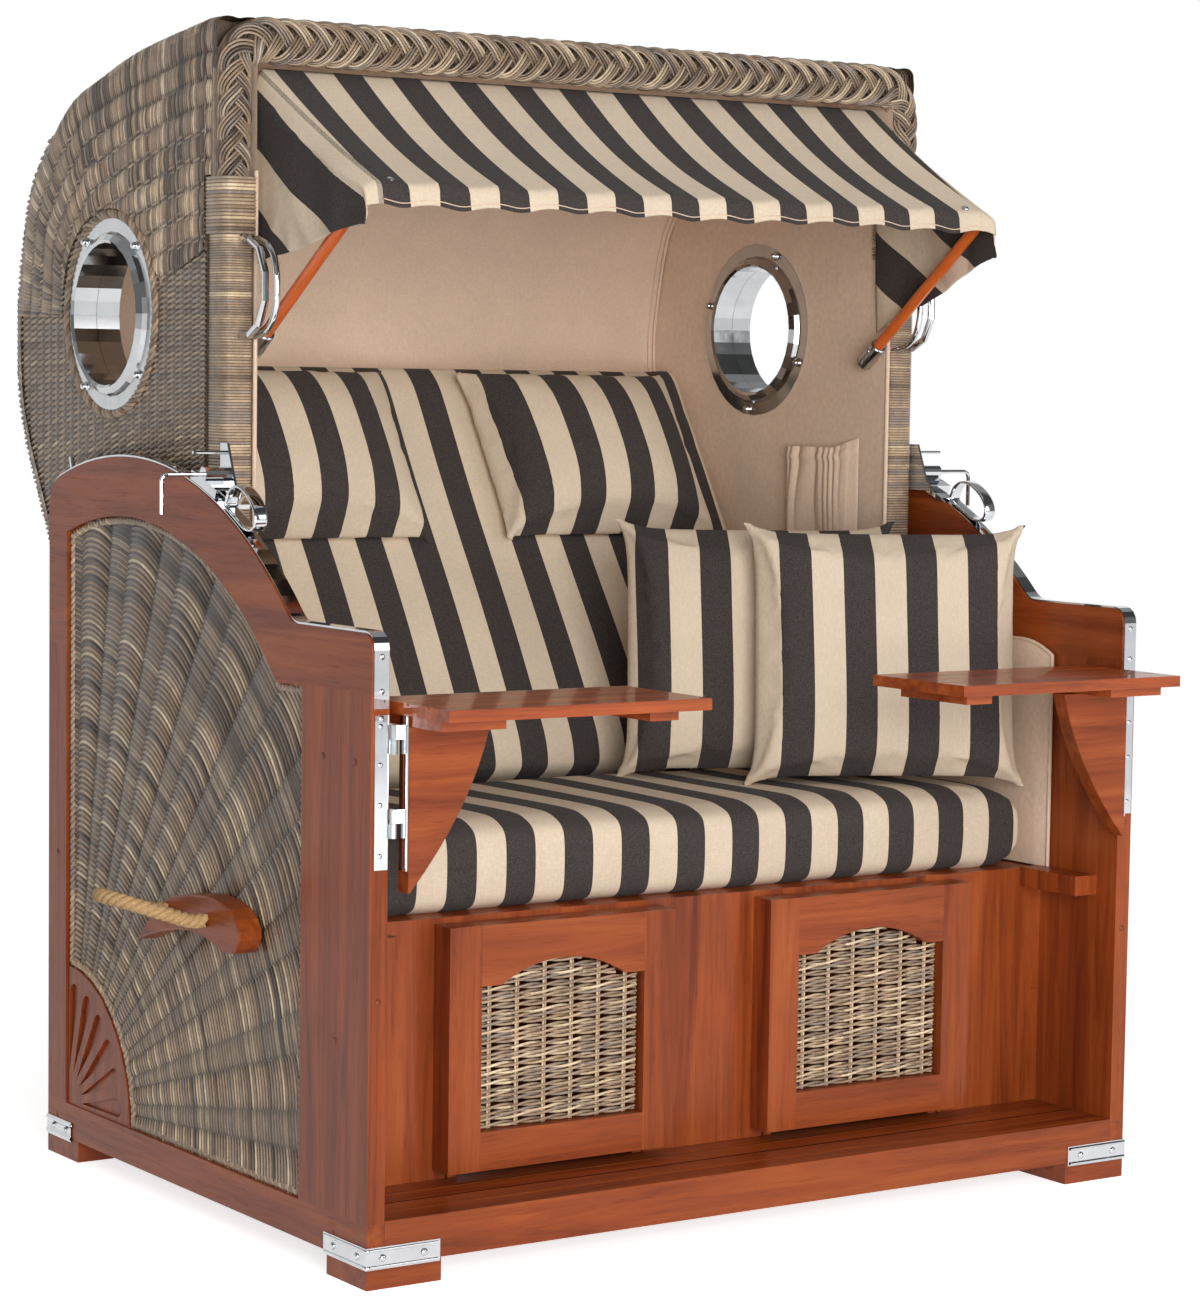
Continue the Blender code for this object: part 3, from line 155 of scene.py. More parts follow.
def woodFinish(name, grains, dark=0.885, gloss=0.08, grooves=None):
    # grains is the axis of the grain, or (main axis, other axis, the heights below and above which the other is
    # used, and the |x| between which it is used). grooves is (start along Y, pitch, width)
    finish = Finish(name)
    stretch = {"x": (0.055, 1, 1), "y": (1, 0.055, 1), "z": (1, 1, 0.055)}

    def figure(axis):
        spot = finish.place(stretch[axis])
        broad = finish.noise(spot, 34, 5, 0.62, 0.7)
        fine = finish.noise(spot, 460, 2, 0.6)
        return broad, fine

    broad, fine = figure(grains[0])
    if len(grains) > 1:
        otherBroad, otherFine = figure(grains[1])
        apart = finish.add("SeparateXYZ", {0: finish.place()}).outputs
        rail = finish.maths("MAXIMUM", finish.maths("LESS_THAN", apart[2], grains[2]),
                          finish.maths("GREATER_THAN", apart[2], grains[3]))
        if len(grains) > 4:
            across = finish.maths("ABSOLUTE", apart[0])
            inside = finish.maths("MULTIPLY", finish.maths("GREATER_THAN", across, grains[4]),
                                finish.maths("LESS_THAN", across, grains[5]))
            rail = finish.maths("MULTIPLY", rail, inside)
        broad = finish.mix(rail, broad, otherBroad)
        fine = finish.mix(rail, fine, otherFine)
    shades = ((0.30, (126, 50, 19)), (0.46, (158, 71, 27)), (0.56, (174, 82, 33)), (0.72, (192, 98, 44)))
    tone = finish.ramp(broad, *((place, dimmed(shade, dark)) for place, shade in shades))
    pores = finish.ramp(fine, (0.30, 0.74), (0.42, 1.0))
    cloudy = finish.ramp(finish.noise(finish.place(), 6, 2), (0.3, 0.88), (0.7, 1.06))
    if grooves:
        start, pitch, width = grooves
        deep = finish.add("SeparateXYZ", {0: finish.place()}).outputs[1]
        share = finish.maths("FRACT", finish.maths("DIVIDE", finish.maths("SUBTRACT", deep, start), pitch))
        cloudy = finish.mix(finish.maths("LESS_THAN", share, width / pitch), cloudy, (0.10, 0.06, 0.05, 1))
    finish.set(Base_Color=finish.times(tone, pores, cloudy),
               Roughness=finish.ramp(fine, (0.3, 0.46), (0.6, 0.32)), Coat_Weight=gloss, Coat_Roughness=0.06)
    finish.shader.inputs["Specular IOR Level"].default_value = 0.26
    finish.relief(fine, 0.14, 0.0005)
    return finish.material


def caneFinish(name, gloss=0.34, bright=1.0):
    # tone picks a strand's colour and depth paints shade into the gaps and a faint highlight on the strands' tops;
    # both are written on the mesh
    finish = Finish(name)
    tone, depth = finish.attribute("tone"), finish.attribute("depth")
    shades = ((0.0, (88, 72, 60)), (0.14, (124, 103, 86)), (0.30, (180, 150, 120)), (0.45, (154, 139, 127)),
              (0.58, (196, 167, 137)), (0.72, (156, 131, 109)), (0.86, (216, 189, 155)), (1.0, (240, 217, 183)))
    colour = finish.ramp(tone, *((place, dimmed(shade, bright)) for place, shade in shades))
    blotch = finish.noise(finish.place(), 60, 3, 0.6)
    speck = finish.noise(finish.place(), 420, 2, 0.6)
    colour = finish.times(colour, finish.ramp(blotch, (0.32, 0.78), (0.68, 1.16)),
                          finish.ramp(speck, (0.3, 0.86), (0.7, 1.08)),
                          finish.ramp(depth, (0.0, 0.05), (0.25, 0.30), (0.55, 0.86), (1.0, 1.06)))
    finish.set(Base_Color=colour, Roughness=gloss)
    finish.relief(speck, 0.2, 0.0004)
    return finish.material


def metalFinish(name, colour, rough, brushed=None):
    finish = Finish(name)
    smear = finish.noise(finish.place(), 26, 3, 0.6)
    low, high = rough
    finish.set(Base_Color=finish.ramp(smear, (0.3, dimmed(colour, 0.93)), (0.7, tint(*colour))),
               Metallic=1.0, Roughness=finish.ramp(smear, (0.35, low), (0.75, high)))
    if brushed:
        finish.relief(finish.noise(finish.place(brushed), 300, 2), 0.06, 0.0004)
    return finish.material


def clothFinish(name, striped, pale=(226, 207, 182), black=(60, 54, 52)):
    # across, written on the mesh, counts stripes: odd ones are black
    finish = Finish(name)
    spot = finish.place()
    weave = finish.noise(spot, 900, 2, 0.7)
    threads = finish.maths("MULTIPLY", finish.noise(finish.place((1, 0.12, 0.12)), 1100, 1),
                         finish.noise(finish.place((0.12, 1, 1)), 1100, 1))
    cloud = finish.noise(spot, 7, 3, 0.6)
    light = finish.ramp(cloud, (0.3, dimmed(pale, 0.96)), (0.7, tint(*pale)))
    if striped:
        part = finish.maths("FRACT", finish.maths("MULTIPLY", finish.attribute("across"), 0.5))
        dark = finish.ramp(weave, (0.35, dimmed(black, 0.66)), (0.65, dimmed(black, 1.42)))
        light = finish.mix(finish.maths("GREATER_THAN", part, 0.5), light, dark)
    colour = finish.times(light, finish.ramp(threads, (0.12, 0.90), (0.40, 1.05)))
    finish.set(Base_Color=colour, Roughness=0.93, Sheen_Weight=0.04, Sheen_Roughness=0.5)
    finish.shader.inputs["Specular IOR Level"].default_value = 0.22
    finish.relief(weave, 0.25, 0.0008)
    return finish.material


def poleFinish():
    finish = Finish("pole_varnish")
    streak = finish.noise(finish.place((1, 0.15, 0.15)), 160, 3)
    finish.set(Base_Color=finish.ramp(streak, (0.3, tint(196, 84, 20)), (0.7, tint(216, 102, 34))),
               Roughness=0.34, Coat_Weight=0.4, Coat_Roughness=0.12)
    return finish.material


def ropeFinish():
    finish = Finish("rope_fibre")
    hairs = finish.noise(finish.place(), 700, 3, 0.7)
    # depth paints shade into the rope's colour below 0.6; the rope's strands all give 0.9, so none is painted
    depth = finish.ramp(finish.attribute("depth"), (0.0, 0.3), (0.6, 1.0))
    colour = finish.ramp(hairs, (0.3, tint(150, 112, 70)), (0.5, tint(196, 158, 108)), (0.7, tint(222, 190, 142)))
    finish.set(Base_Color=finish.times(colour, depth), Roughness=0.85)
    finish.relief(hairs, 0.5, 0.001)
    return finish.material


def coreFinish():
    finish = Finish("dark_core")
    shade = finish.noise(finish.place(), 220, 3)
    finish.set(Base_Color=finish.ramp(shade, (0.3, tint(82, 67, 54)), (0.7, tint(118, 99, 81))), Roughness=0.8)
    return finish.material


finishes = {
    "grainX": woodFinish("mahogany_x", "x"), "grainY": woodFinish("mahogany_y", "y"),
    "grainZ": woodFinish("mahogany_z", "z"), "panel": woodFinish("mahogany_panel", ("z", "y", 0.082, 0.742)),
    "door": woodFinish("mahogany_door", ("z", "x", 0.150, 0.341, 0.129, 0.385)),
    "table": woodFinish("mahogany_table", "x", 1.0, 0.35),
    "planks": woodFinish("mahogany_planks", "x", grooves=(-0.4563, 0.0425, 0.0022)),
    "plug": woodFinish("mahogany_plug", "y", 0.76),
    # the plait's cane is a copy of the cane dimmed to 0.84: painted shade
    "cane": caneFinish("cane"), "canePlait": caneFinish("cane_plait", 0.3, 0.84),
    "chrome": metalFinish("chrome_polish", (208, 211, 214), (0.03, 0.10)),
    "steel": metalFinish("steel_turned", (196, 198, 200), (0.12, 0.22), (1, 0.2, 0.2)),
    "stripe": clothFinish("stripe_cloth", True), "lining": clothFinish("lining_cloth", False, (234, 207, 183)),
    "black": clothFinish("black_cloth", False, (44, 41, 41)), "pole": poleFinish(), "rope": ropeFinish(),
    "core": coreFinish(),
}


# Mesh makers
def newPiece(name, mesh, body, finish, smooth=True):
    piece = bpy.data.objects.new(name, mesh)
    scene.collection.objects.link(piece)
    mesh.materials.append(finishes[finish])
    if smooth:
        mesh.polygons.foreach_set("use_smooth", np.ones(len(mesh.polygons), bool))
    if body:
        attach(piece, body)
    return piece


def fillMesh(mesh, points, quads, values):
    mesh.vertices.add(len(points))
    mesh.vertices.foreach_set("co", np.asarray(points, np.float32).ravel())
    mesh.loops.add(quads.size)
    mesh.loops.foreach_set("vertex_index", quads.astype(np.int32).ravel())
    mesh.polygons.add(len(quads))
    mesh.polygons.foreach_set("loop_start", np.arange(0, quads.size, quads.shape[1], dtype=np.int32))
    mesh.update(calc_edges=True)
    for key, value in values.items():
        layer = mesh.attributes.new(key, "FLOAT", "POINT")
        layer.data.foreach_set("value", np.asarray(value, np.float32).ravel())


def gridQuads(rows, cols, wrap=False, first=0):
    i, j = np.meshgrid(np.arange(rows - 1), np.arange(cols if wrap else cols - 1), indexing="ij")
    after = (j + 1) % cols
    quads = np.stack([i * cols + j, i * cols + after, (i + 1) * cols + after, (i + 1) * cols + j], -1)
    return quads.reshape(-1, 4) + first


def gridPiece(name, points, values, body, finish, keep=None, wrap=False, flip=False):
    # points is rows x columns x 3; keep marks the points that stay
    rows, cols = points.shape[:2]
    quads = gridQuads(rows, cols, wrap)
    if flip:
        quads = quads[:, ::-1]
    flat = points.reshape(-1, 3)
    values = {key: np.broadcast_to(value, (rows, cols)).ravel() for key, value in values.items()}
    if keep is not None:
        quads = quads[keep.ravel()[quads].any(1)]
        used = np.unique(quads)
        order = np.full(len(flat), -1)
        order[used] = np.arange(len(used))
        flat, quads = flat[used], order[quads]
        values = {key: value[used] for key, value in values.items()}
    mesh = bpy.data.meshes.new(name)
    fillMesh(mesh, flat, quads, values)
    return newPiece(name, mesh, body, finish)


def unit(vectors):
    return vectors / (np.linalg.norm(vectors, axis=-1, keepdims=True) + 1e-12)


def directions(line):
    return unit(np.gradient(line, axis=0))


def tubeRings(path, radius, count, up):
    # a ring of points about each point of the path
    path = np.asarray(path, float)
    along = directions(path)
    first = unit(np.cross(along, up))
    second = np.cross(along, first)
    angles = np.linspace(0, 2 * np.pi, count, endpoint=False)[:, None]
    return path[:, None] + radius * (first[:, None] * np.cos(angles) + second[:, None] * np.sin(angles))


def tubesPiece(name, tubes, body, finish, count=6):
    # tubes is a list of (path, radius, up, values), all in one piece
    points, quads, values, first = [], [], {}, 0
    for path, radius, up, facts in tubes:
        rings = tubeRings(path, radius, count, up)
        points.append(rings.reshape(-1, 3))
        quads.append(gridQuads(len(path), count, True, first))
        first += rings.shape[0] * count
        for key, value in facts.items():
            full = np.broadcast_to(np.asarray(value, float).reshape(-1, 1), (len(path), count))
            values.setdefault(key, []).append(full.ravel())
    mesh = bpy.data.meshes.new(name)
    fillMesh(mesh, np.concatenate(points), np.concatenate(quads),
             {key: np.concatenate(value) for key, value in values.items()})
    return newPiece(name, mesh, body, finish)


def turnedPoints(profile, centre, axis, count):
    # profile is (distance along the axis, radius)
    axis = Vector(axis).normalized()
    first = axis.orthogonal().normalized()
    second = axis.cross(first)
    angles = [2 * math.pi * k / count for k in range(count)]
    return [Vector(centre) + axis * along + (first * math.cos(a) + second * math.sin(a)) * radius
            for along, radius in profile for a in angles]


def lathePiece(name, turned, body, finish, count=24):
    # turned is a list of (profile, centre, axis), all in one piece
    points, quads = [], []
    for profile, centre, axis in turned:
        quads.append(gridQuads(len(profile), count, True, len(points)))
        points += turnedPoints(profile, centre, axis, count)
    mesh = bpy.data.meshes.new(name)
    fillMesh(mesh, np.array(points), np.concatenate(quads), {})
    return newPiece(name, mesh, body, finish)


def chance(index, seed):
    # a fixed random number from 0 to 1 for each index
    return np.modf(np.abs(np.sin(np.asarray(index, float) * 12.9898 + seed * 78.233) * 43758.5453))[0]


def smoothLine(points, steps):
    padded = [points[0]] + list(points) + [points[-1]]
    line = []
    for i in range(1, len(padded) - 2):
        p, q, r, s = (np.array(padded[i + k], float) for k in (-1, 0, 1, 2))
        for k in range(steps):
            t = k / steps
            line.append(0.5 * (2 * q + (r - p) * t + (2 * p - 5 * q + 4 * r - s) * t ** 2
                               + (3 * q - p - 3 * r + s) * t ** 3))
    line.append(np.array(points[-1], float))
    return np.array(line)


def resample(line, spots):
    # the points at these distances along a line
    line = np.asarray(line, float)
    run = np.concatenate([[0], np.cumsum(np.linalg.norm(np.diff(line, axis=0), axis=1))])
    return np.stack([np.interp(spots, run, line[:, k]) for k in range(line.shape[1])], -1)


def lengthOf(line):
    return float(np.linalg.norm(np.diff(np.asarray(line, float), axis=0), axis=1).sum())


def hits(node, x, ys, zs, reach, outward=False):
    # where a line along X from x, inward or outward, meets this CAD node within reach
    if node not in hits.trees:
        hits.trees[node] = BVHTree.FromObject(nodes[node], bpy.context.evaluated_depsgraph_get())
    tree = hits.trees[node]
    way = Vector((math.copysign(1, x) if outward else -math.copysign(1, x), 0, 0))
    flat = [tree.ray_cast(Vector((x, y, z)), way, reach)[0] is not None for y, z in zip(ys.ravel(), zs.ravel())]
    return np.array(flat).reshape(ys.shape)


hits.trees = {}


# CAD pieces that stay
def dressFrame():
    bevels = {"side_frame": 0.003, "footrest_tray": 0.002, "door_frame": 0.003, "table_top": 0.002,
              "table_bracket": 0.002, "floor_board": 0.002, "rear_wall": 0.002, "box_front": 0.002,
              "seat_board": 0.002, "arm_rail": 0.0008, "foot": 0.0006, "corner_strap": 0.0006,
              "lock_slider": 0.0012, "lock_loop": 0.0025, "hinge": 0.0005}
    grains = {"side_frame": "panel", "table_top": "table", "table_bracket": "grainX", "door_frame": "door",
              "footrest_tray": "grainY", "handle_block": "grainY", "rear_wall": "grainZ",
              "box_front": "grainZ", "floor_board": "planks"}
    for name, node in nodes.items():
        for spot in node.material_slots:
            slot = spot.material.name.split(".")[0]
            if slot == "mahogany":
                spot.material = finishes[next((g for key, g in grains.items() if name.startswith(key)), "grainX")]
            elif slot == "wicker":
                spot.material = finishes["core"]
            elif slot in finishes:
                spot.material = finishes[slot]
            else:
                print("slot", slot, "on", name)
        width = next((w for key, w in bevels.items() if name.startswith(key)), None)
        if width:
            round = node.modifiers.new("round", "BEVEL")
            round.width, round.segments, round.limit_method, round.angle_limit = width, 2, "ANGLE", 0.6


dressFrame()
print("frame dressed")


# Hood wicker
hood = {"half": 0.585, "front": 0.022, "pivot": (0.187, 0.34), "back": 0.656, "rise": 1.266, "shift": -0.033,
        "shares": ((0.084, 0.994), (0.395, 0.972), (0.587, 0.948), (0.722, 0.926), (0.864, 0.87), (0.945, 0.812),
                   (0.993, 0.706), (0.9986, 0.648), (0.983, 0.59), (0.939, 0.532), (0.849, 0.452)),
        "port": (0.307, 1.211), "portClear": 0.131, "skin": 0.03}
hoodLine = smoothLine([(y * hood["back"] + hood["shift"], hood["pivot"][1] + z * hood["rise"])
                       for y, z in hood["shares"]], 8)
hoodLine[0][0] = hood["front"]


def outwards(line):
    # unit normals of a (y, z) line that runs back over the roof and down
    along = directions(line)
    return np.stack([-along[:, 1], along[:, 0]], -1)


def wrapSkin():
    # strands that run over the roof from side to side; the upper ones go on down both sides
    facts = {"pitch": 0.0057, "step": 0.0050, "band": 0.035, "bulge": 0.0034, "cane": 0.0016, "corner": 0.010,
             "proud": 0.0008, "group": 10, "lead": 0.034, "inset": 0.016, "frontLow": 1.394}
    # the lower edge of the upper weave: share of the run back, bearing about the porthole, distance from it
    edge = np.array(((0.0, 163.3, 0.2957), (0.075, 163.9, 0.2342), (0.16, 166, 0.162), (0.19, 155.7, 0.1485),
                     (0.24, 137.2, 0.1472), (0.32, 111.7, 0.1465), (0.43, 84.6, 0.1485), (0.55, 60.8, 0.1539),
                     (0.67, 41.7, 0.158), (0.8, 24.8, 0.1593), (0.92, 8.7, 0.158), (1.0, -1.1, 0.1566)))
    lead = facts["lead"]
    line = np.concatenate([[(hoodLine[0][0] - lead, hoodLine[0][1])], hoodLine])
    total = lengthOf(line)
    fine = np.linspace(0, total, 2000)
    sideEnd = float(fine[resample(line, fine)[:, 1] > hood["port"][1]].max())
    half = hood["half"] + facts["proud"]
    ends = [0, sideEnd / 2, sideEnd, (sideEnd + total) / 2, total]
    for part, (start, stop) in enumerate(zip(ends, ends[1:])):
        count = int(round((stop - start) / facts["pitch"]))
        spots = np.linspace(start, stop, count * 4 + 1)
        strand = np.floor(spots / facts["pitch"] + 0.5)
        ring = resample(line, spots)
        normal = outwards(ring)
        if stop <= sideEnd + 1e-6:
            share = np.clip((spots - lead) / (sideEnd - lead), 0, 1)
            turn = np.radians(np.interp(share, edge[:, 0], edge[:, 1]))
            far = np.interp(share, edge[:, 0], edge[:, 2])
            reach = np.stack([hood["port"][0] + far * np.cos(turn), hood["port"][1] + far * np.sin(turn)], -1)
            ahead = np.clip(lead - spots, 0, None)
            reach[:, 0] -= ahead
            reach[:, 1] = np.where(ahead > 0, facts["frontLow"], reach[:, 1])
        else:
            reach = ring - normal * facts["inset"]
        drop = np.linalg.norm(reach - ring, axis=1)
        sideCols = int(drop.max() / facts["step"]) + 1
        roofCols = int(2 * half / facts["step"])
        shares = np.linspace(1, 0, sideCols, endpoint=False)
        flatX = np.linspace(-1, 1, roofCols)
        corner = np.linspace(0, 1, 5)[1:-1]
        rows = len(spots)
        r = facts["corner"]
        xs, ys, nx, ny, way = [], [], [], [], []

        def column(x, point, outX, outN, across):
            xs.append(np.broadcast_to(x, rows))
            ys.append(point)
            nx.append(np.broadcast_to(outX, rows))
            ny.append(np.broadcast_to(outN, rows))
            way.append(across)

        deep = ring - normal * r
        for side in (-1, 1):
            cells = []
            for share in shares:
                point = deep + (reach - deep) * share
                cells.append((side * half, point, side * 1.0, 0.0, half + np.linalg.norm(point - ring, axis=1)))
            for t in corner:
                a = math.pi / 2 * t
                point = deep + normal * (r * math.sin(a))
                x = side * (half - r + r * math.cos(a))
                cells.append((x, point, side * math.cos(a), math.sin(a), np.full(rows, half - r + r * (1 - t))))
            if side < 0:
                cells += [(x, ring, 0.0, 1.0, np.full(rows, abs(x))) for x in flatX * (half - r)]
            else:
                cells.reverse()
            for cell in cells:
                column(*cell)
        xs, nx, ny, way = (np.stack(v, 1) for v in (xs, nx, ny, way))
        yz = np.stack(ys, 1)
        group = np.floor(strand / facts["group"])[:, None]
        tier = way / facts["band"] + 0.10 * chance(group, 3) + 0.05 * np.sin(spots * 21)[:, None]
        lean = np.floor(tier)
        phase = tier - lean
        swell = np.sin(np.pi * phase ** 0.8) ** 0.7
        within = np.abs(spots / facts["pitch"] + 0.5 - strand - 0.5)[:, None] * 2
        ridge = np.sqrt(np.clip(1 - within ** 2, 0, 1))
        jitter = chance(strand, 1)[:, None]
        # painted shade: depth darkens the gaps between strands, the band edges where strands dive under, and the
        # edges of each group's first strand
        gapLine = 0.35 * ((strand % facts["group"]) == 0)[:, None]
        height = facts["bulge"] * swell + facts["cane"] * ridge * (0.8 + 0.4 * jitter)
        depth = np.clip(0.02 + 0.98 * ridge * (0.10 + 0.90 * swell) - gapLine * (1 - ridge), 0, 1)
        tone = 0.50 * chance(strand, 5)[:, None] + 0.28 * chance(group * 7.3 + lean * 3.1, 2) \
            + 0.22 * chance(strand[:, None] * 1.7 + lean, 9)
        tone = np.clip((tone - 0.5) * 2.0 + 0.5, 0, 1)
        out = np.stack([xs + nx * height,
                        yz[..., 0] + normal[:, None, 0] * ny * height,
                        yz[..., 1] + normal[:, None, 1] * ny * height], -1)
        keep = out[..., 2] > 0.5
        gridPiece(f"hood_skin_{part}", out, {"tone": tone, "depth": depth}, "hood", "cane", keep,
                  flip=True)


def sideSkin(side, hand):
    # rows of two canes that twist about each stake, below and round the porthole
    facts = {"row": 0.0078, "stake": 0.0245, "step": 0.0031, "cane": 0.0022, "wave": 0.0017, "lift": 0.0021,
             "slope": 0.2}
    rows = np.arange(0.80, 1.47, facts["row"] / 6)
    cols = np.arange(hood["front"] - 0.004, 0.625, facts["step"])
    v, y = np.meshgrid(rows, cols, indexing="ij")
    z = v.copy()
    for again in range(6):
        z = v - facts["slope"] * np.clip((1.22 - z) / 0.45, 0, 1) * (y - 0.3)
    row = np.floor(v / facts["row"])
    local = v - (row + 0.5) * facts["row"]
    turn = np.pi * y / facts["stake"]
    upright = np.sqrt(np.clip(1 - ((np.mod(y / facts["stake"] + 0.5, 1) - 0.5) / 0.13) ** 2, 0, 1))
    height = 0.0022 * upright - 0.0012
    # painted shade: depth darkens the stakes towards their sides and the deep gaps between them
    depth = 0.03 + 0.62 * upright
    tone = 0.25 + 0.5 * chance(np.floor(y / facts["stake"] + 0.5), 4)
    for strand, way in ((0, 1), (1, -1)):
        near = way * np.cos(turn)
        off = (local + way * facts["lift"] * np.sin(turn)) / facts["cane"]
        round = np.sqrt(np.clip(1 - off ** 2, 0, 1))
        top = np.where(round > 0.05, facts["wave"] * near + facts["cane"] * round, -0.004)
        over = top > height
        height = np.where(over, top, height)
        # painted shade: depth darkens each cane where it turns back behind a stake and along its edges
        depth = np.where(over, (0.06 + 0.94 * (near / 2 + 0.5) ** 1.6) * (0.30 + 0.70 * round), depth)
        shade = 0.6 * chance(2 * row + strand, 6) + 0.4 * chance(row * 3.3 + np.floor(y / 0.11) + 5 * strand, 8)
        tone = np.where(over, shade, tone)
    depth = np.clip(depth, 0, 1)
    x = side * (hood["half"] + np.clip(height + 0.0006, 0.0001, 0.0042))
    spread = np.hypot(y - hood["port"][0], z - hood["port"][1])
    keep = hits("hood_shell", side * 0.6, y, z, 0.02) & (spread > hood["portClear"])
    keep &= np.hypot(y - hood["pivot"][0], z - hood["pivot"][1]) > 0.62
    points = np.stack([x, y, z], -1)
    gridPiece("hood_side_" + hand, points, {"tone": tone, "depth": depth}, "hood", "cane", keep,
              flip=side < 0)


def portBorder(side, hand):
    # three twisted canes round the porthole
    facts = {"radius": 0.1405, "swing": 0.0038, "cane": 0.0034, "turns": 26, "steps": 360, "face": 0.5885}
    angles = np.linspace(0, 2 * np.pi, facts["steps"] + 1)
    tubes = []
    for k in range(3):
        twist = facts["turns"] * angles + k * 2 * np.pi / 3
        radius = facts["radius"] + facts["swing"] * np.cos(twist)
        x = side * (facts["face"] + facts["swing"] * 0.7 * np.sin(twist))
        path = np.stack([np.broadcast_to(x, angles.shape), hood["port"][0] + radius * np.cos(angles),
                         hood["port"][1] + radius * np.sin(angles)], -1)
        # depth 0.75 paints a slight even shade over these canes
        tubes.append((path, facts["cane"], (1, 0, 0), {"tone": 0.15 + 0.25 * k, "depth": 0.75}))
    tubesPiece("port_border_" + hand, tubes, "hood", "cane", 6)


wrapSkin()
for side, hand in sides:
    sideSkin(side, hand)
    portBorder(side, hand)
print("hood wicker")


# Hood rim: plait, wraps and piping
rim = {"low": 1.385, "postX": 0.566, "topZ": 1.5735, "corner": 0.047, "front": -0.033, "deep": 0.0275,
       "halfPost": 0.0262, "halfTop": 0.0325}


def rimPath():
    bend = [(-rim["postX"] + rim["corner"] + rim["corner"] * math.cos(a),
             rim["topZ"] - rim["corner"] + rim["corner"] * math.sin(a)) for a in np.linspace(np.pi, np.pi / 2, 9)]
    left = [(-rim["postX"], rim["low"] - 0.012)] + bend
    right = [(-x, z) for x, z in reversed(left)]
    return np.array(left + right)


def plait():
    # five bundles of canes plaited along the rim, and single canes beside them on the hood's outer side
    facts = {"bundles": 5, "canes": 4, "cane": 0.0020, "gap": 0.0049, "swing": 0.0290, "period": 0.150,
             "rise": 0.0066, "step": 0.0045, "beside": 16, "first": 1.02, "apart": 0.135, "core": -0.0045}
    line = rimPath()
    total = lengthOf(line)
    tubes = []
    spots = np.arange(0, total, facts["step"])
    mid = resample(line, spots)
    behind, ahead = (resample(line, np.clip(spots + way, 0, total)) for way in (-0.004, 0.004))
    along = unit(ahead - behind)
    outer = np.stack([-along[:, 1], along[:, 0]], -1)
    onTop = np.abs(along[:, 0]) ** 2
    half = rim["halfPost"] + (rim["halfTop"] - rim["halfPost"]) * onTop
    swing = facts["swing"] * half / rim["halfPost"] * 0.92

    def surface(at, q, out):
        # a point at the distance q round the rim's half-ellipse, standing out by out
        centre = np.stack([np.interp(at, spots, mid[:, k]) for k in (0, 1)], -1)
        side = np.stack([np.interp(at, spots, outer[:, k]) for k in (0, 1)], -1)
        wide = np.interp(at, spots, half)
        angle = q / (wide * 0.5 + rim["deep"] * 0.5)
        lateral = (wide - 0.0035 + out) * np.sin(angle)
        depth = (rim["deep"] - 0.0035 + out) * np.cos(angle)
        place = centre + side * lateral[:, None]
        return np.stack([place[:, 0], rim["front"] + rim["deep"] - depth, place[:, 1]], -1)

    for b in range(facts["bundles"]):
        phase = 2 * np.pi * (spots / facts["period"] + b / facts["bundles"])
        q = swing * np.sin(phase)
        out = -facts["rise"] * np.sin(2 * phase) * 0.5
        slope = np.gradient(q, facts["step"])
        size = np.sqrt(1 + slope ** 2)
        for c in range(facts["canes"]):
            shift = (c - (facts["canes"] - 1) / 2) * facts["gap"] * 0.96
            at = np.clip(spots - shift * slope / size, 0, spots[-1])
            lateral = q + shift / size
            arch = 0.0010 * (1 - ((c - 1.5) / 2) ** 2)
            path = surface(at, lateral, out + arch)
            shade = 0.05 + 0.95 * chance(b * 7 + c + 40 * np.floor(spots / 0.26), 4)
            # painted shade: depth darkens each bundle where it dips under the next
            depth = np.clip(0.62 + 120 * out, 0.08, 1.0)
            tubes.append((path, facts["cane"], (0.13, 1, 0.07), {"tone": shade, "depth": depth}))
    piece = tubesPiece("rim_plait", tubes, "hood", "canePlait", 6)
    beside, coarse = [], spots[::3]
    for k in range(facts["beside"]):
        q = (facts["first"] + facts["apart"] * k) * (np.interp(coarse, spots, half) * 0.5 + rim["deep"] * 0.5)
        path = surface(coarse, q + 0.0008 * np.sin(coarse * 23 + 2.1 * k), np.full(len(coarse), 0.0004))
        # depth 0.7 paints a slight even shade over these canes
        beside.append((path, facts["cane"], (0.13, 1, 0.07), {"tone": 0.05 + 0.9 * chance(k, 11), "depth": 0.7}))
    tubesPiece("rim_side_canes", beside, "hood", "canePlait", 6)
    angles = np.linspace(-np.pi, np.pi, 14, endpoint=False)
    core = np.stack([surface(spots, np.full(len(spots), a * (rim["deep"] + rim["halfPost"]) / 2), facts["core"])
                     for a in angles], 1)
    gridPiece("rim_core", core, {}, "hood", "core", wrap=True)
    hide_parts("hood_frame")


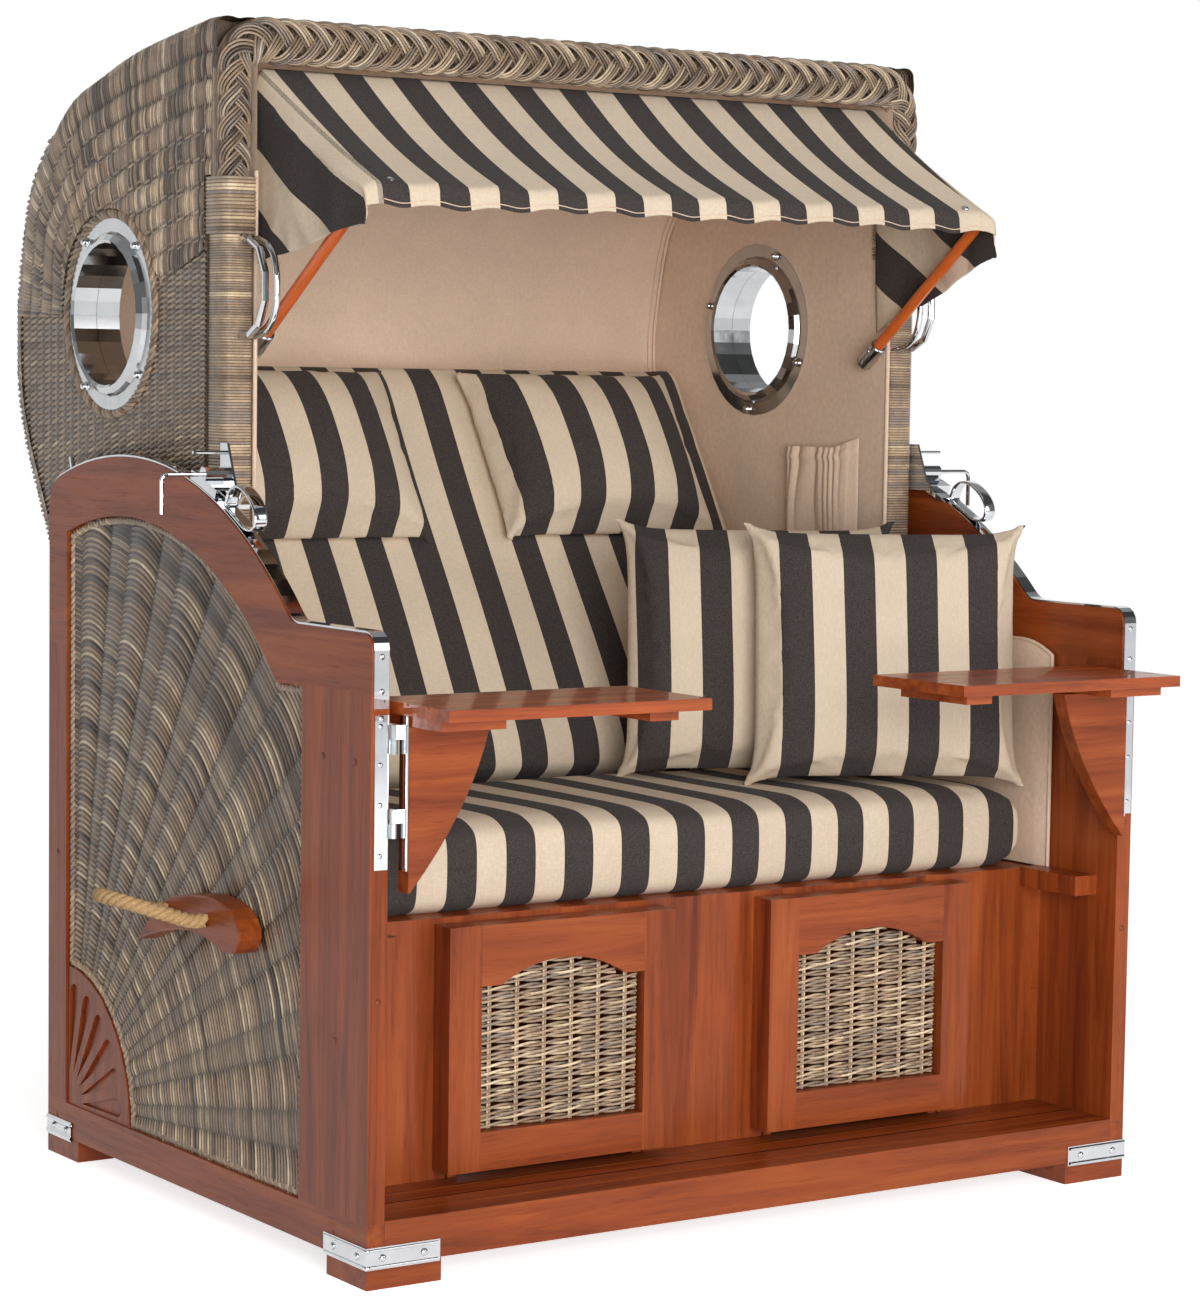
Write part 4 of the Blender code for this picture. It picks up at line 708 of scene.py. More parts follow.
def postWrap(side, hand):
    # rings of cane wound round the post, proud near its top, with beige piping down its inner front edge
    facts = {"low": 0.568, "cane": 0.0013, "inner": 0.5415, "outer": 0.5865, "front": -0.0315, "back": 0.0225}
    edges, z = [], facts["low"]
    while z < rim["low"] + 0.004:
        size = 0.0034 if 1.185 < z < 1.31 else 0.0048 if z > 1.31 else 0.0040
        edges.append((z, size))
        z += size
    cx, cy = (facts["inner"] + facts["outer"]) / 2, (facts["front"] + facts["back"]) / 2
    hx, hy = (facts["outer"] - facts["inner"]) / 2, (facts["back"] - facts["front"]) / 2
    turns = np.linspace(0, 2 * np.pi, 40, endpoint=False)
    shapeX, shapeY = (np.sign(way) * np.abs(way) ** 0.5 for way in (np.cos(turns), np.sin(turns)))
    rows, tones, depths = [], [], []
    for i, (z, size) in enumerate(edges):
        proud = 0.0042 if z > 1.312 else 0.0
        for t in (0.0, 0.16, 0.38, 0.62, 0.84):
            ridge = math.sin(math.pi * t)
            out = proud + facts["cane"] * ridge
            rows.append(np.stack([side * (cx + (hx + out) * shapeX), cy + (hy + out) * shapeY,
                                  np.full(len(turns), z + t * size)], -1))
            tones.append(float(np.clip(0.1 + 0.55 * chance(i // 3 * 1.0, 7) + 0.45 * chance(i, 3), 0, 1)))
            # painted shade: depth darkens each ring towards its edges, in the gaps between rings
            depths.append(0.12 + 0.88 * ridge)
    points = np.array(rows)
    gridPiece("post_wrap_" + hand, points, {"tone": np.array(tones)[:, None], "depth": np.array(depths)[:, None]},
              "hood", "cane", wrap=True, flip=side > 0)
    z = np.linspace(0.57, 1.40, 60)
    path = np.stack([np.full(60, side * 0.5385), np.full(60, -0.0275), z], -1)
    tubesPiece("post_piping_" + hand, [(path, 0.0032, (0, 1, 0), {"across": 0.0})], "hood", "lining", 8)
    strip = np.stack([np.stack([np.full(60, side * 0.5395), np.full(60, y), z], -1) for y in (-0.026, 0.0, 0.03)], 1)
    gridPiece("post_strip_" + hand, strip, {}, "hood", "lining", flip=side > 0)


plait()
for side, hand in sides:
    postWrap(side, hand)
print("rim")


# Side panels of the base
def panelSkin(side, hand):
    # a fan: strands in arcs about the lower rear corner, over ribs that spread from it, wide and narrow in turn
    facts = {"centre": (0.371, 0.08), "near": 0.19, "far": 1.02, "pitch": 0.0078, "cane": 0.0019, "face": 0.6146,
             "back": 0.607, "first": 82.2, "wide": 6.1, "narrow": 4.2, "bow": 0.0085}
    marks = np.array((0.0, 0.16, 0.31, 0.46, 0.62, 0.80))
    count = int((facts["far"] - facts["near"]) / facts["pitch"])
    rows = facts["near"] + ((np.arange(count)[:, None] + marks[None]) * facts["pitch"]).ravel()
    degrees = np.linspace(86, 184, 344)
    v, d = np.meshgrid(rows, degrees, indexing="ij")
    pair = facts["wide"] + facts["narrow"]
    turn = np.mod(d - facts["first"], pair)
    sector = np.floor((d - facts["first"]) / pair)
    isWide = turn < facts["wide"]
    share = np.where(isWide, turn / facts["wide"], (turn - facts["wide"]) / facts["narrow"])
    swell = np.sin(np.pi * share) ** 0.7
    strand = np.repeat(np.arange(count), len(marks))[:, None] + 0 * d
    within = np.tile(marks, count)[:, None] + 0 * d
    # a strand in front and one sunk behind it, in turn; in a narrow rib they change places
    front = np.sqrt(np.clip(1 - ((within - 0.31) / 0.315) ** 2, 0, 1))
    behind = np.where(within > 0.7, 1.0, np.where(within < 0.05, 0.35, 0.0))
    lift = np.where(isWide, 0.0047 * swell, 0.0026 * swell)
    height = lift + facts["cane"] * front * np.where(isWide, 1.0, 0.3) \
        + behind * np.where(isWide, -0.0002, 0.0018) - 0.0004
    r = v + facts["bow"] * np.where(isWide, swell, 0.35 * swell) * np.clip(v / 0.5, 0.5, 1.3)
    a = np.radians(d)
    y = facts["centre"][0] + r * np.cos(a)
    z = facts["centre"][1] + r * np.sin(a)
    # painted shade: shade and depth darken the gaps between strands, the strand sunk behind, and the dips at the
    # ribs' edges
    shade = 0.38 + 0.62 * swell
    depth = np.where(isWide, 0.03 + 0.92 * front * shade + 0.24 * behind * shade,
                     0.03 + 0.26 * front * shade + 1.0 * behind * (0.55 + 0.45 * swell))
    depth = np.clip(depth, 0, 1)
    tone = 0.55 * chance(strand, 2) + 0.25 * chance(strand + 17 * sector, 3) + 0.20 * chance(np.floor(strand / 4), 8)
    tone = np.clip((tone - 0.5) * 1.8 + 0.56, 0, 1)
    keep = hits("side_wicker_" + hand, side * 0.64, y, z, 0.03)
    points = np.stack([side * (facts["face"] + height), y, z], -1)
    piece = gridPiece("fan_weave_" + hand, points, {"tone": tone, "depth": depth}, "base", "cane", keep,
                      flip=side > 0)
    points = np.stack([side * (facts["back"] - height * 0.6), y, z], -1)[::3]
    gridPiece("fan_back_" + hand, points, {"tone": tone[::3], "depth": depth[::3]}, "base", "cane",
              keep[::3], flip=side < 0)
    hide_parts("side_wicker_" + hand)


def edgeTwist(side, hand):
    # two canes twisted round the opening, against the wood
    facts = {"centre": (0.371, 0.08), "corner": 0.2, "front": -0.320, "low": 0.08, "step": 0.738,
             "pivot": (0.187, 0.34), "radius": 0.592, "inset": 0.0062, "swing": 0.0030, "cane": 0.0031, "turn": 0.019,
             "face": 0.6165}
    radius, corner, inset = facts["radius"] - facts["inset"], facts["corner"] + facts["inset"], facts["inset"]
    front, low, step = facts["front"] + inset, facts["low"] + inset, facts["step"] - inset
    rear = facts["centre"][0] - inset
    (py, pz), (cy, cz) = facts["pivot"], facts["centre"]
    first = math.atan2(step - pz, -math.sqrt(radius ** 2 - (step - pz) ** 2))
    last = math.atan2(math.sqrt(radius ** 2 - (rear - py) ** 2), rear - py)
    line = [(front, low), (front, step)]
    line += [(py + radius * math.cos(a), pz + radius * math.sin(a)) for a in np.linspace(first, last, 40)]
    line += [(cy + corner * math.cos(a), cz + corner * math.sin(a))
             for a in np.linspace(math.radians(91.8), math.radians(178.2), 16)]
    line.append(line[0])
    total = lengthOf(line)
    spots = np.linspace(0, total, int(total / 0.0028))
    middle = resample(line, spots)
    along = directions(middle)
    tubes = []
    for k in range(2):
        twist = 2 * np.pi * spots / facts["turn"] + k * np.pi
        place = middle + np.stack([along[:, 1], -along[:, 0]], -1) * (facts["swing"] * np.cos(twist))[:, None]
        x = side * (facts["face"] + facts["swing"] * 0.7 * np.sin(twist))
        shade = 0.35 + 0.5 * chance(np.floor(spots / 0.21), 3 + k)
        # depth 0.82 paints a faint even shade over these canes
        tubes.append((np.column_stack([x, place]), facts["cane"], (1, 0, 0), {"tone": shade, "depth": 0.82}))
    tubesPiece("edge_twist_" + hand, tubes, "base", "cane", 6)


for side, hand in sides:
    panelSkin(side, hand)
    edgeTwist(side, hand)
print("panels")


# Door weave
def doorWeave(side, hand):
    # pairs of canes that twist about each pair of stakes
    facts = {"near": 0.132, "far": 0.382, "low": 0.153, "spring": 0.342, "rise": 0.029, "shoulder": 0.03,
             "front": -0.3568, "row": 0.0078, "stake": 0.0427, "cane": 0.00195, "reach": 0.0032, "lift": 0.0021,
             "rod": 0.0016, "apart": 0.0030}
    width = facts["far"] - facts["near"]
    half = width / 2 - facts["shoulder"]
    radius = (half ** 2 + facts["rise"] ** 2) / (2 * facts["rise"])

    def top(x):
        along = np.abs(np.abs(x) - (facts["near"] + facts["far"]) / 2)
        arch = facts["spring"] + facts["rise"] - radius + np.sqrt(np.maximum(radius ** 2 - along ** 2, 0))
        return np.where(along < half, arch, facts["spring"])

    tubes = []
    first = facts["near"] + 0.018
    for row, z in enumerate(np.arange(facts["low"] + 0.002, facts["spring"] + facts["rise"], facts["row"])):
        xs = np.linspace(facts["near"], facts["far"], 96)
        kept = xs[z < top(xs) - 0.001]
        if len(kept) < 8:
            continue
        for strand in range(2):
            twist = np.pi * ((kept - first) * side / facts["stake"] + strand + row)
            y = facts["front"] - facts["reach"] * np.cos(twist)
            lift = facts["lift"] * np.sin(twist)
            path = np.column_stack([side * kept, y, z + lift + 0.0012 * math.sin(row * 1.9)])
            shade = 0.25 + 0.75 * chance(np.floor(kept / 0.11) + 31 * row + 7 * strand, 5)
            # painted shade: depth darkens each cane where it turns back behind the stakes
            depth = np.clip(0.66 + 0.34 * np.cos(twist), 0.1, 1)
            tubes.append((path, facts["cane"], (0, 0, 1), {"tone": shade, "depth": depth}))
    x = first
    while x < facts["far"]:
        for way in (-1, 1):
            at = x + way * facts["apart"] / 2 * 1.1
            high = float(top(at))
            path = np.array([(side * at, facts["front"], z) for z in np.linspace(facts["low"] - 0.002, high, 20)])
            tubes.append((path, facts["rod"], (0, 1, 0), {"tone": 0.6 + 0.3 * way, "depth": 0.9}))
        x += facts["stake"]
    piece = tubesPiece("door_weave_" + hand, tubes, "footrest_" + hand, "cane", 6)
    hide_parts("door_wicker_" + hand)


for side, hand in sides:
    doorWeave(side, hand)
print("doors")


# Lining inside the hood
cavity = {"half": 0.5384, "lining": 0.0016, "lean": 32.0, "foot": (0.1913, 0.5078)}


def boardFace(z):
    return cavity["foot"][0] + (z - cavity["foot"][1]) * math.tan(math.radians(cavity["lean"]))


def cavityLine():
    inset = hood["skin"] + cavity["lining"]
    inner = hoodLine - outwards(hoodLine) * inset
    kept = []
    for y, z in inner:
        if kept and y > boardFace(z) - cavity["lining"] * 1.2:
            break
        kept.append((y, z))
    for z in np.linspace(kept[-1][1] - 0.004, cavity["foot"][1] + 0.01, 36):
        kept.append((boardFace(z) - cavity["lining"] * 1.2, z))
    return np.array(kept)


def lining():
    line = cavityLine()
    line[0] = (hood["front"] - 0.004, line[0][1])
    total = lengthOf(line)
    ring = resample(line, np.linspace(0, total, 120))
    xs = np.linspace(-cavity["half"], cavity["half"], 90)
    row, col = np.meshgrid(np.arange(120), np.arange(90), indexing="ij")
    x = xs[col]
    ease = np.sin(np.pi * np.clip(row / 119, 0, 1)) * np.cos(np.pi * x / cavity["half"] / 2)
    sag = 0.0012 * np.sin(row * 0.33 + 3 * x) * ease + 0.0022 * ease
    normal = outwards(ring)
    points = np.stack([x, ring[row, 0] - normal[row, 0] * sag, ring[row, 1] - normal[row, 1] * sag], -1)
    piece = gridPiece("hood_lining", points, {"across": 0.0}, "hood", "lining")
    seams = []
    for side, hand in sides:
        path = np.column_stack([np.full(len(line), side * (cavity["half"] - 0.0035)), line])
        path[:, 1:] -= outwards(line) * 0.0035
        seams.append((path, 0.0026, (1, 0, 0), {}))
        seams.append((path - np.array((side * 0.011, 0, 0)), 0.0009, (1, 0, 0), {}))
        sideLining(side, hand)
    tubesPiece("lining_seams", seams, "hood", "lining", 8)


def sideLining(side, hand):
    ys = np.arange(-0.028, 0.62, 0.009)
    zs = np.arange(0.52, 1.58, 0.009)
    z, y = np.meshgrid(zs, ys, indexing="ij")
    wall = hits("hood_shell", side * 0.5, y, z, 0.06, outward=True)
    wall |= (y < hood["front"] + 0.004) & (z < 1.545) & (z > 0.56)
    wall &= np.hypot(y - hood["port"][0], z - hood["port"][1]) > 0.117
    ripple = 0.0008 * np.sin(9 * z + 14 * y) + 0.0006 * np.sin(31 * y - 12 * z)
    points = np.stack([side * (cavity["half"] - 0.0008 + ripple * 0.8), y, z], -1)
    piece = gridPiece("side_lining_" + hand, points, {"across": 0.0}, "hood", "lining", wall,
                      flip=side < 0)


def wallPocket(side, hand):
    # a patch pocket gathered on elastic at its top edge
    facts = {"rear": 0.215, "front": 0.035, "low": 0.74, "high": 1.03, "deep": 0.022, "pleats": 8}
    u, v = np.meshgrid(np.linspace(0, 1, 110), np.linspace(0, 1, 70), indexing="xy")
    y = facts["rear"] + (facts["front"] - facts["rear"]) * u
    z = facts["low"] + (facts["high"] - facts["low"] + 0.016 * np.clip(u * 4 - 3, 0, 1)) * v
    edge = np.clip(np.minimum(u, 1 - u) * 9, 0, 1) ** 0.6 * np.clip(v * 12, 0, 1) ** 0.6
    wander = u + 0.03 * np.sin(5 * v + 3 * u) + 0.02 * np.sin(11 * v)
    gathered = np.clip((v - 0.35) / 0.6, 0, 1) ** 1.5 * np.clip((0.86 - u) * 8, 0.15, 1)
    pleat = np.abs(np.sin(np.pi * facts["pleats"] * wander + 1.7 * np.sin(9 * u))) ** 0.9
    broad = 0.5 + 0.5 * np.sin(np.pi * 3.1 * wander + 0.8)
    full = 0.35 + 0.65 * np.sin(np.pi * np.clip(v * 0.82 + 0.08, 0, 1))
    out = facts["deep"] * edge * (0.30 * full + 0.30 * gathered * pleat + 0.34 * broad * (1 - 0.6 * gathered))
    out += 0.003 * edge * np.exp(-((v - 0.95) / 0.018) ** 2)
    points = np.stack([side * (cavity["half"] - 0.003 - out), y, z], -1)
    piece = gridPiece("wall_pocket_" + hand, points, {"across": 0.0}, "hood", "lining", flip=side > 0)


def baseLiner(side, hand):
    # cloth over the panel's inner side, with a double seam round its edge
    low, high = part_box("side_liner_" + hand)
    rows, cols = 60, 44
    u, v = np.meshgrid(np.linspace(0, 1, rows), np.linspace(0, 1, cols), indexing="ij")
    y = low.y + (high.y - low.y) * u
    top = high.z - 0.02 * np.clip(1 - u * 9, 0, 1) ** 2 - 0.02 * np.clip(u * 9 - 8, 0, 1) ** 2
    z = low.z + (top - low.z) * v
    rim = np.minimum(np.minimum(u, 1 - u) * (high.y - low.y), (1 - v) * (high.z - low.z))
    puff = 0.0045 * np.clip(rim / 0.02, 0, 1) ** 0.5 - 0.0022 * np.exp(-((rim - 0.012) / 0.0025) ** 2)
    face = (low.x if side > 0 else high.x)
    points = np.stack([face + side * (0.0048 - puff), y, z], -1)
    piece = gridPiece("base_liner_" + hand, points, {"across": 0.0}, "base", "lining", flip=side < 0)
    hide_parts("side_liner_" + hand)
    edge = np.concatenate([points[0, :, :], points[1:, -1, :], points[-1, ::-1, :][1:]])
    tubesPiece("liner_piping_" + hand, [(edge, 0.0028, (1, 0, 0), {})], "base", "lining", 8)


lining()
wallPocket(1, "right")
wallPocket(-1, "left")
for side, hand in sides:
    baseLiner(side, hand)
print("lining")


# Cushions
def stripeBox(facts, count):
    # a closed cushion in its own frame: x across, y up it, z through it
    hx, hy, thick = facts["half"][0], facts["half"][1], facts["thick"]
    us = np.sin(np.pi / 2 * np.linspace(-1, 1, count[0]))
    vs = np.sin(np.pi / 2 * np.linspace(-1, 1, count[1]))
    u, v = np.meshgrid(us, vs, indexing="ij")
    power, drawn, ear = facts["boxy"], facts.get("drawn", 0), facts.get("ear", 2)
    full = np.clip((1 - np.abs(u) ** power) * (1 - np.abs(v) ** power), 0, 1) ** (1 / facts["crown"])
    x = hx * u * (1 - drawn * (1 - np.abs(v) ** ear) * np.abs(u))
    y = hy * v * (1 - drawn * (1 - np.abs(u) ** ear) * np.abs(v))
    sheets = [np.stack([x, y, way * full * thick / 2], -1).reshape(-1, 3) for way in (1, -1)]
    quads = gridQuads(*count)
    mesh = bpy.data.meshes.new(facts["name"])
    fillMesh(mesh, np.concatenate(sheets), np.concatenate([quads, quads[:, ::-1] + len(sheets[0])]), {})
    shape = bmesh.new()
    shape.from_mesh(mesh)
    bmesh.ops.remove_doubles(shape, verts=shape.verts, dist=0.0004)
    bmesh.ops.recalc_face_normals(shape, faces=shape.faces)
    shape.to_mesh(mesh)
    shape.free()
    return mesh


def applied(piece):
    evaluated = piece.evaluated_get(bpy.context.evaluated_depsgraph_get())
    return bpy.data.meshes.new_from_object(evaluated)


def puffed(mesh, facts):
    # blown up a little as cloth, so that it crowns and wrinkles by itself
    soft = bpy.data.objects.new("soft", mesh)
    scene.collection.objects.link(soft)
    remesh = soft.modifiers.new("even", "REMESH")
    remesh.mode, remesh.voxel_size = "VOXEL", facts["voxel"]
    even = applied(soft)
    soft.modifiers.clear()
    soft.data = even
    start = np.array([v.co for v in even.vertices])
    cloth = soft.modifiers.new("cloth", "CLOTH")
    cloth.settings.use_pressure = True
    cloth.settings.uniform_pressure_force = 4
    cloth.settings.effector_weights.gravity = 0
    cloth.settings.quality = 4
    cloth.settings.tension_stiffness = cloth.settings.compression_stiffness = 12
    cloth.settings.shear_stiffness = 6
    cloth.settings.bending_stiffness = 0.6
    cloth.collision_settings.use_collision = False
    cloth.point_cache.frame_start, cloth.point_cache.frame_end = 1, 20
    for step in range(1, 21):
        scene.frame_set(step)
    swollen = np.array([v.co for v in applied(soft).vertices])
    soft.modifiers.clear()
    scene.frame_set(1)
    move = swollen - start
    far = np.linalg.norm(move, axis=1, keepdims=True)
    start = start + move * np.minimum(1, facts["cap"] / np.maximum(far, 1e-6))
    even.vertices.foreach_set("co", start.astype(np.float32).ravel())
    bpy.data.objects.remove(soft)
    return even


def cushion(facts):
    mesh = puffed(stripeBox(facts, facts.get("count", (64, 56))), facts)
    co = np.array([v.co for v in mesh.vertices])
    hx, hy, thick = facts["half"][0], facts["half"][1], facts["thick"]
    u, v = np.clip(co[:, 0] / hx, -1, 1), np.clip(co[:, 1] / hy, -1, 1)
    edge = np.maximum(np.abs(u) ** 6, np.abs(v) ** 6)
    gather = facts.get("gather", 0)
    co[:, 2] += gather * edge * (np.sin(co[:, 1] * 150 + 3 * np.sin(co[:, 1] * 31)) * np.abs(u) ** 6
                                 + np.sin(co[:, 0] * 140 + 3 * np.sin(co[:, 0] * 27)) * np.abs(v) ** 6)
    co[:, 2] -= facts.get("droop", 0) * np.maximum(np.abs(u), np.abs(v)) ** 2.6
    co[:, 2] += facts.get("dimple", 0) * np.sin(co[:, 0] * 11 + 1.3) * np.sin(co[:, 1] * 9 + 0.4) * (1 - edge)
    mesh.vertices.foreach_set("co", co.astype(np.float32).ravel())
    layer = mesh.attributes.new("across", "FLOAT", "POINT")
    drift = 0.05 * np.sin(co[:, 1] * 13 + co[:, 0] * 4)
    layer.data.foreach_set("value", ((co[:, 0] - facts["start"]) / stripe["wide"] + drift + 41).astype(np.float32))
    mesh.transform(facts["frame"])
    piece = newPiece(facts["name"], mesh, facts["body"], "stripe")
    smooth = piece.modifiers.new("smooth", "SUBSURF")
    smooth.levels = smooth.render_levels = 1
    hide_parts(facts["node"])
    return piece


stripe = {"wide": 0.0456}
recline = math.radians(cavity["lean"])
upBack = Vector((0, math.sin(recline), math.cos(recline)))
offBack = Vector((0, -math.cos(recline), math.sin(recline)))


def leaning(point):
    return Matrix.Translation(point) @ Matrix((Vector((1, 0, 0)), upBack, offBack)).transposed().to_4x4()


def seatCushion():
    low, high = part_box("seat_cushion")
    middle = (low + high) / 2
    size = (high - low) / 2
    cushion({"name": "cushion_seat", "node": "seat_cushion", "body": "base", "half": (size.x - 0.006, size.y - 0.005),
             "thick": 2 * size.z - 0.006, "boxy": 34, "crown": 3.2, "voxel": 0.008, "cap": 0.010, "fill": 0.8,
             "frame": Matrix.Translation(middle), "start": -0.5665 - 0.4 * stripe["wide"], "count": (120, 60),
             "dimple": 0.0016})


def backCushion():
    foot = Vector((0, 0.119, 0.553))
    middle = foot + upBack * 0.357 - offBack * 0.0425
    cushion({"name": "cushion_back", "node": "back_cushion", "body": "hood", "half": (0.530, 0.359), "thick": 0.080,
             "boxy": 40, "crown": 4.5, "voxel": 0.008, "cap": 0.010, "fill": 0.7, "frame": leaning(middle),
             "start": -0.5245 - 0.52 * stripe["wide"], "count": (110, 80), "dimple": 0.0022})
    for side, hand in sides:
        point = foot + upBack * 0.522 + offBack * 0.050 + Vector((side * 0.26, 0, 0))
        cushion({"name": "cushion_head_" + hand, "node": "head_cushion_" + hand, "body": "hood",
                 "half": (0.207, 0.159), "thick": 0.108, "boxy": 2.3, "drawn": 0.05, "ear": 5, "crown": 1.6,
                 "droop": 0.026, "voxel": 0.006, "cap": 0.010, "fill": 0.7, "frame": leaning(point),
                 "start": -0.1596 - 0.78 * stripe["wide"] if side < 0 else -0.1710, "gather": 0.0036,
                 "dimple": 0.0015})


def pillows():
    for name, place, shift in (("front", (0.396, -0.213), 0.0), ("rear", (0.286, -0.047), 0.44)):
        low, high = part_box("throw_pillow_" + name)
        turn = Matrix.Rotation(math.radians(-26.7), 4, "Z") @ Matrix.Rotation(math.radians(85), 4, "X")
        frameAt = Matrix.Translation((place[0], place[1], (low.z + high.z) / 2)) @ turn
        cushion({"name": "pillow_" + name, "node": "throw_pillow_" + name, "body": "base", "half": (0.221, 0.205),
                 "thick": 0.088, "boxy": 3.4, "drawn": 0.085, "ear": 6, "crown": 2.0, "voxel": 0.006, "cap": 0.012,
                 "fill": 0.75, "frame": frameAt, "start": -0.1596 - shift * stripe["wide"], "gather": 0.003,
                 "dimple": 0.0016})


seatCushion()
backCushion()
pillows()
print("cushions")


# Awning
def awning():
    # cloth from the hood's seam to the bar with a valance, and a flap at each end; the stripes scallop it
    facts = {"seam": (-0.003, 1.537), "bar": (-0.2825, 1.3765), "seamHalf": 0.519, "barHalf": 0.4965, "sag": 0.013,
             "drop": 0.028, "flap": 0.5347, "rear": (1.272, 1.205), "front": (1.323, 1.312), "strip": 0.021,
             "start": 0.5015, "flapStripe": 0.079}
    rows, cols, hang = 46, 220, 10
    shares = np.concatenate([np.linspace(0, 1, rows), np.ones(hang)])
    fall = np.concatenate([np.zeros(rows), np.linspace(1 / hang, 1, hang)])
    half = facts["seamHalf"] + shares * (facts["barHalf"] - facts["seamHalf"])
    u = np.linspace(-1, 1, cols)
    x = half[:, None] * u[None]
    beat = np.pi * (x + facts["start"]) / stripe["wide"]
    wave = np.sin(beat + 0.9)
    slow = np.sin(2 * np.pi * x / 0.41 + 1.1)
    ease = shares[:, None] ** 3
    y = facts["seam"][0] + shares[:, None] * (facts["bar"][0] - facts["seam"][0])
    z = facts["seam"][1] + shares[:, None] * (facts["bar"][1] - facts["seam"][1])
    held = 1 - 0.72 * np.abs(u[None]) ** 5
    sag = facts["sag"] * np.sin(np.pi * shares)[:, None] * (1 + 0.25 * slow) * held
    z = z - sag + 0.0022 * wave * ease * (1 - fall[:, None])
    roll = np.clip(fall[:, None] * 3, 0, 1)
    y = y - 0.0035 * np.sin(np.pi / 2 * roll) - 0.0035 * wave * fall[:, None] - 0.003 * fall[:, None]
    z = z - facts["drop"] * fall[:, None] * (1 + 0.10 * np.sin(beat - 0.7) + 0.06 * slow)
    bend = 0.10 * np.sin(np.pi * shares)[:, None] * (0.5 + 0.5 * slow) * np.clip(x + 0.3, 0, 1) * 2.2
    across = (x + facts["start"]) / stripe["wide"] + 1 + bend + 0.1225 * fall[:, None] * np.sin(beat + 0.4)
    top = np.stack([x, np.broadcast_to(y, x.shape), z], -1)
    flaps, counts = [], 42
    for side, rear, front in zip((-1, 1), facts["rear"], facts["front"]):
        w = np.linspace(0, 1, counts)
        edge = top[:, 0] if side < 0 else top[:, -1]
        rearLow = rear + (front - rear) * shares
        scallop = 0.003 * np.sin(np.pi * shares * 3)
        lowZ = np.where(fall > 0, np.minimum(rearLow, edge[:, 2] - 0.002), rearLow) + scallop
        height = lowZ[:, None] + (edge[:, 2] - lowZ)[:, None] * w
        out = np.clip((1 - w) * 7, 0, 1) ** 0.7
        swell = 0.006 * np.sin(np.pi * w) * np.sin(7 * shares[:, None] + 0.6) \
            + 0.0035 * np.sin(16 * shares[:, None] + 2 * w) * (1 - w)
        spread = (facts["flap"] - np.abs(edge[:, 0])) * (1 - 0.28 * shares ** 3)
        fx = side * (np.abs(edge[:, 0])[:, None] + spread[:, None] * out - np.abs(swell))
        fy = np.broadcast_to(edge[:, 1][:, None], fx.shape)
        past = edge[:, 2][:, None] - height - facts["strip"]
        stripes = np.where(past < 0, 40 - 0.9 * past / facts["strip"], 40 - past / facts["flapStripe"])
        flaps.append((np.stack([fx, fy, height], -1), stripes))
    (leftGrid, leftAcross), (rightGrid, rightAcross) = flaps
    points = np.concatenate([leftGrid, top, rightGrid[:, ::-1]], 1)
    across = np.concatenate([leftAcross, across, rightAcross[:, ::-1]], 1)
    across[:, counts - 1] = across[:, counts]
    piece = gridPiece("awning_sheet", points, {"across": across}, None, "stripe")
    thick = piece.modifiers.new("thick", "SOLIDIFY")
    thick.thickness = 0.0012
    mesh = applied(piece)
    piece.modifiers.clear()
    piece.data = mesh
    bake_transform(piece)
    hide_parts("awning_cloth")
    hem = points[-1][counts:counts + cols] + np.array([0, -0.0012, 0.006])
    stitches = tubesPiece("awning_stitching", [(hem, 0.0008, (0, 1, 0), {})], None, "lining", 5)
    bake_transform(stitches)


awning()
print("awning")


# Rope handles
def ropeHandle(side, hand):
    turns = ((0, -0.0575, 0), (0.021, -0.0575, 0), (0.0605, -0.0575, 0.013), (0.0893, -0.05, 0.0225),
             (0.1103, -0.029, 0.0295), (0.118, 0, 0.032), (0.1103, 0.029, 0.0295), (0.0893, 0.05, 0.0225),
             (0.0605, 0.0575, 0.013), (0.021, 0.0575, 0), (0, 0.0575, 0))
    route = [(side * (0.6556 + out), -0.0605 + back, 0.415 + up) for out, back, up in turns]
    smooth = smoothLine(route, 10)
    middle = resample(smooth, np.linspace(0, lengthOf(smooth), 150))
    along = directions(middle)
    first = unit(np.cross(along, (0, 0, 1.0)))
    second = np.cross(along, first)
    run = np.linspace(0, lengthOf(middle), 150)[:, None]
    strands = []
    for k in range(3):
        a = 2 * np.pi * (run / 0.034 + k / 3) * side
        path = middle + 0.0049 * (first * np.cos(a) + second * np.sin(a))
        strands.append((path, 0.0053, (0, 0, 1), {"depth": 0.9}))
    piece = tubesPiece("rope_" + hand, strands, "base", "rope", 10)
    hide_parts("rope_loop_" + hand)


for side, hand in sides:
    ropeHandle(side, hand)
print("ropes")


# Small metal details
def dome(radius, rise):
    return [(-0.001, radius)] + [(rise * math.sin(a), radius * math.cos(a))
                                 for a in np.linspace(0, math.pi / 2 - 0.02, 6)]


def capNut(radius):
    return [(-0.001, radius * 1.35), (0.0016, radius * 1.35), (0.0018, radius), (0.006, radius)] + \
        [(0.006 + radius * 0.9 * math.sin(a), radius * math.cos(a)) for a in np.linspace(0.1, math.pi / 2 - 0.02, 6)]


def flatPlug(radius):
    return [(-0.001, radius), (0.0004, radius - 0.0002), (0.0006, 0.0001)]


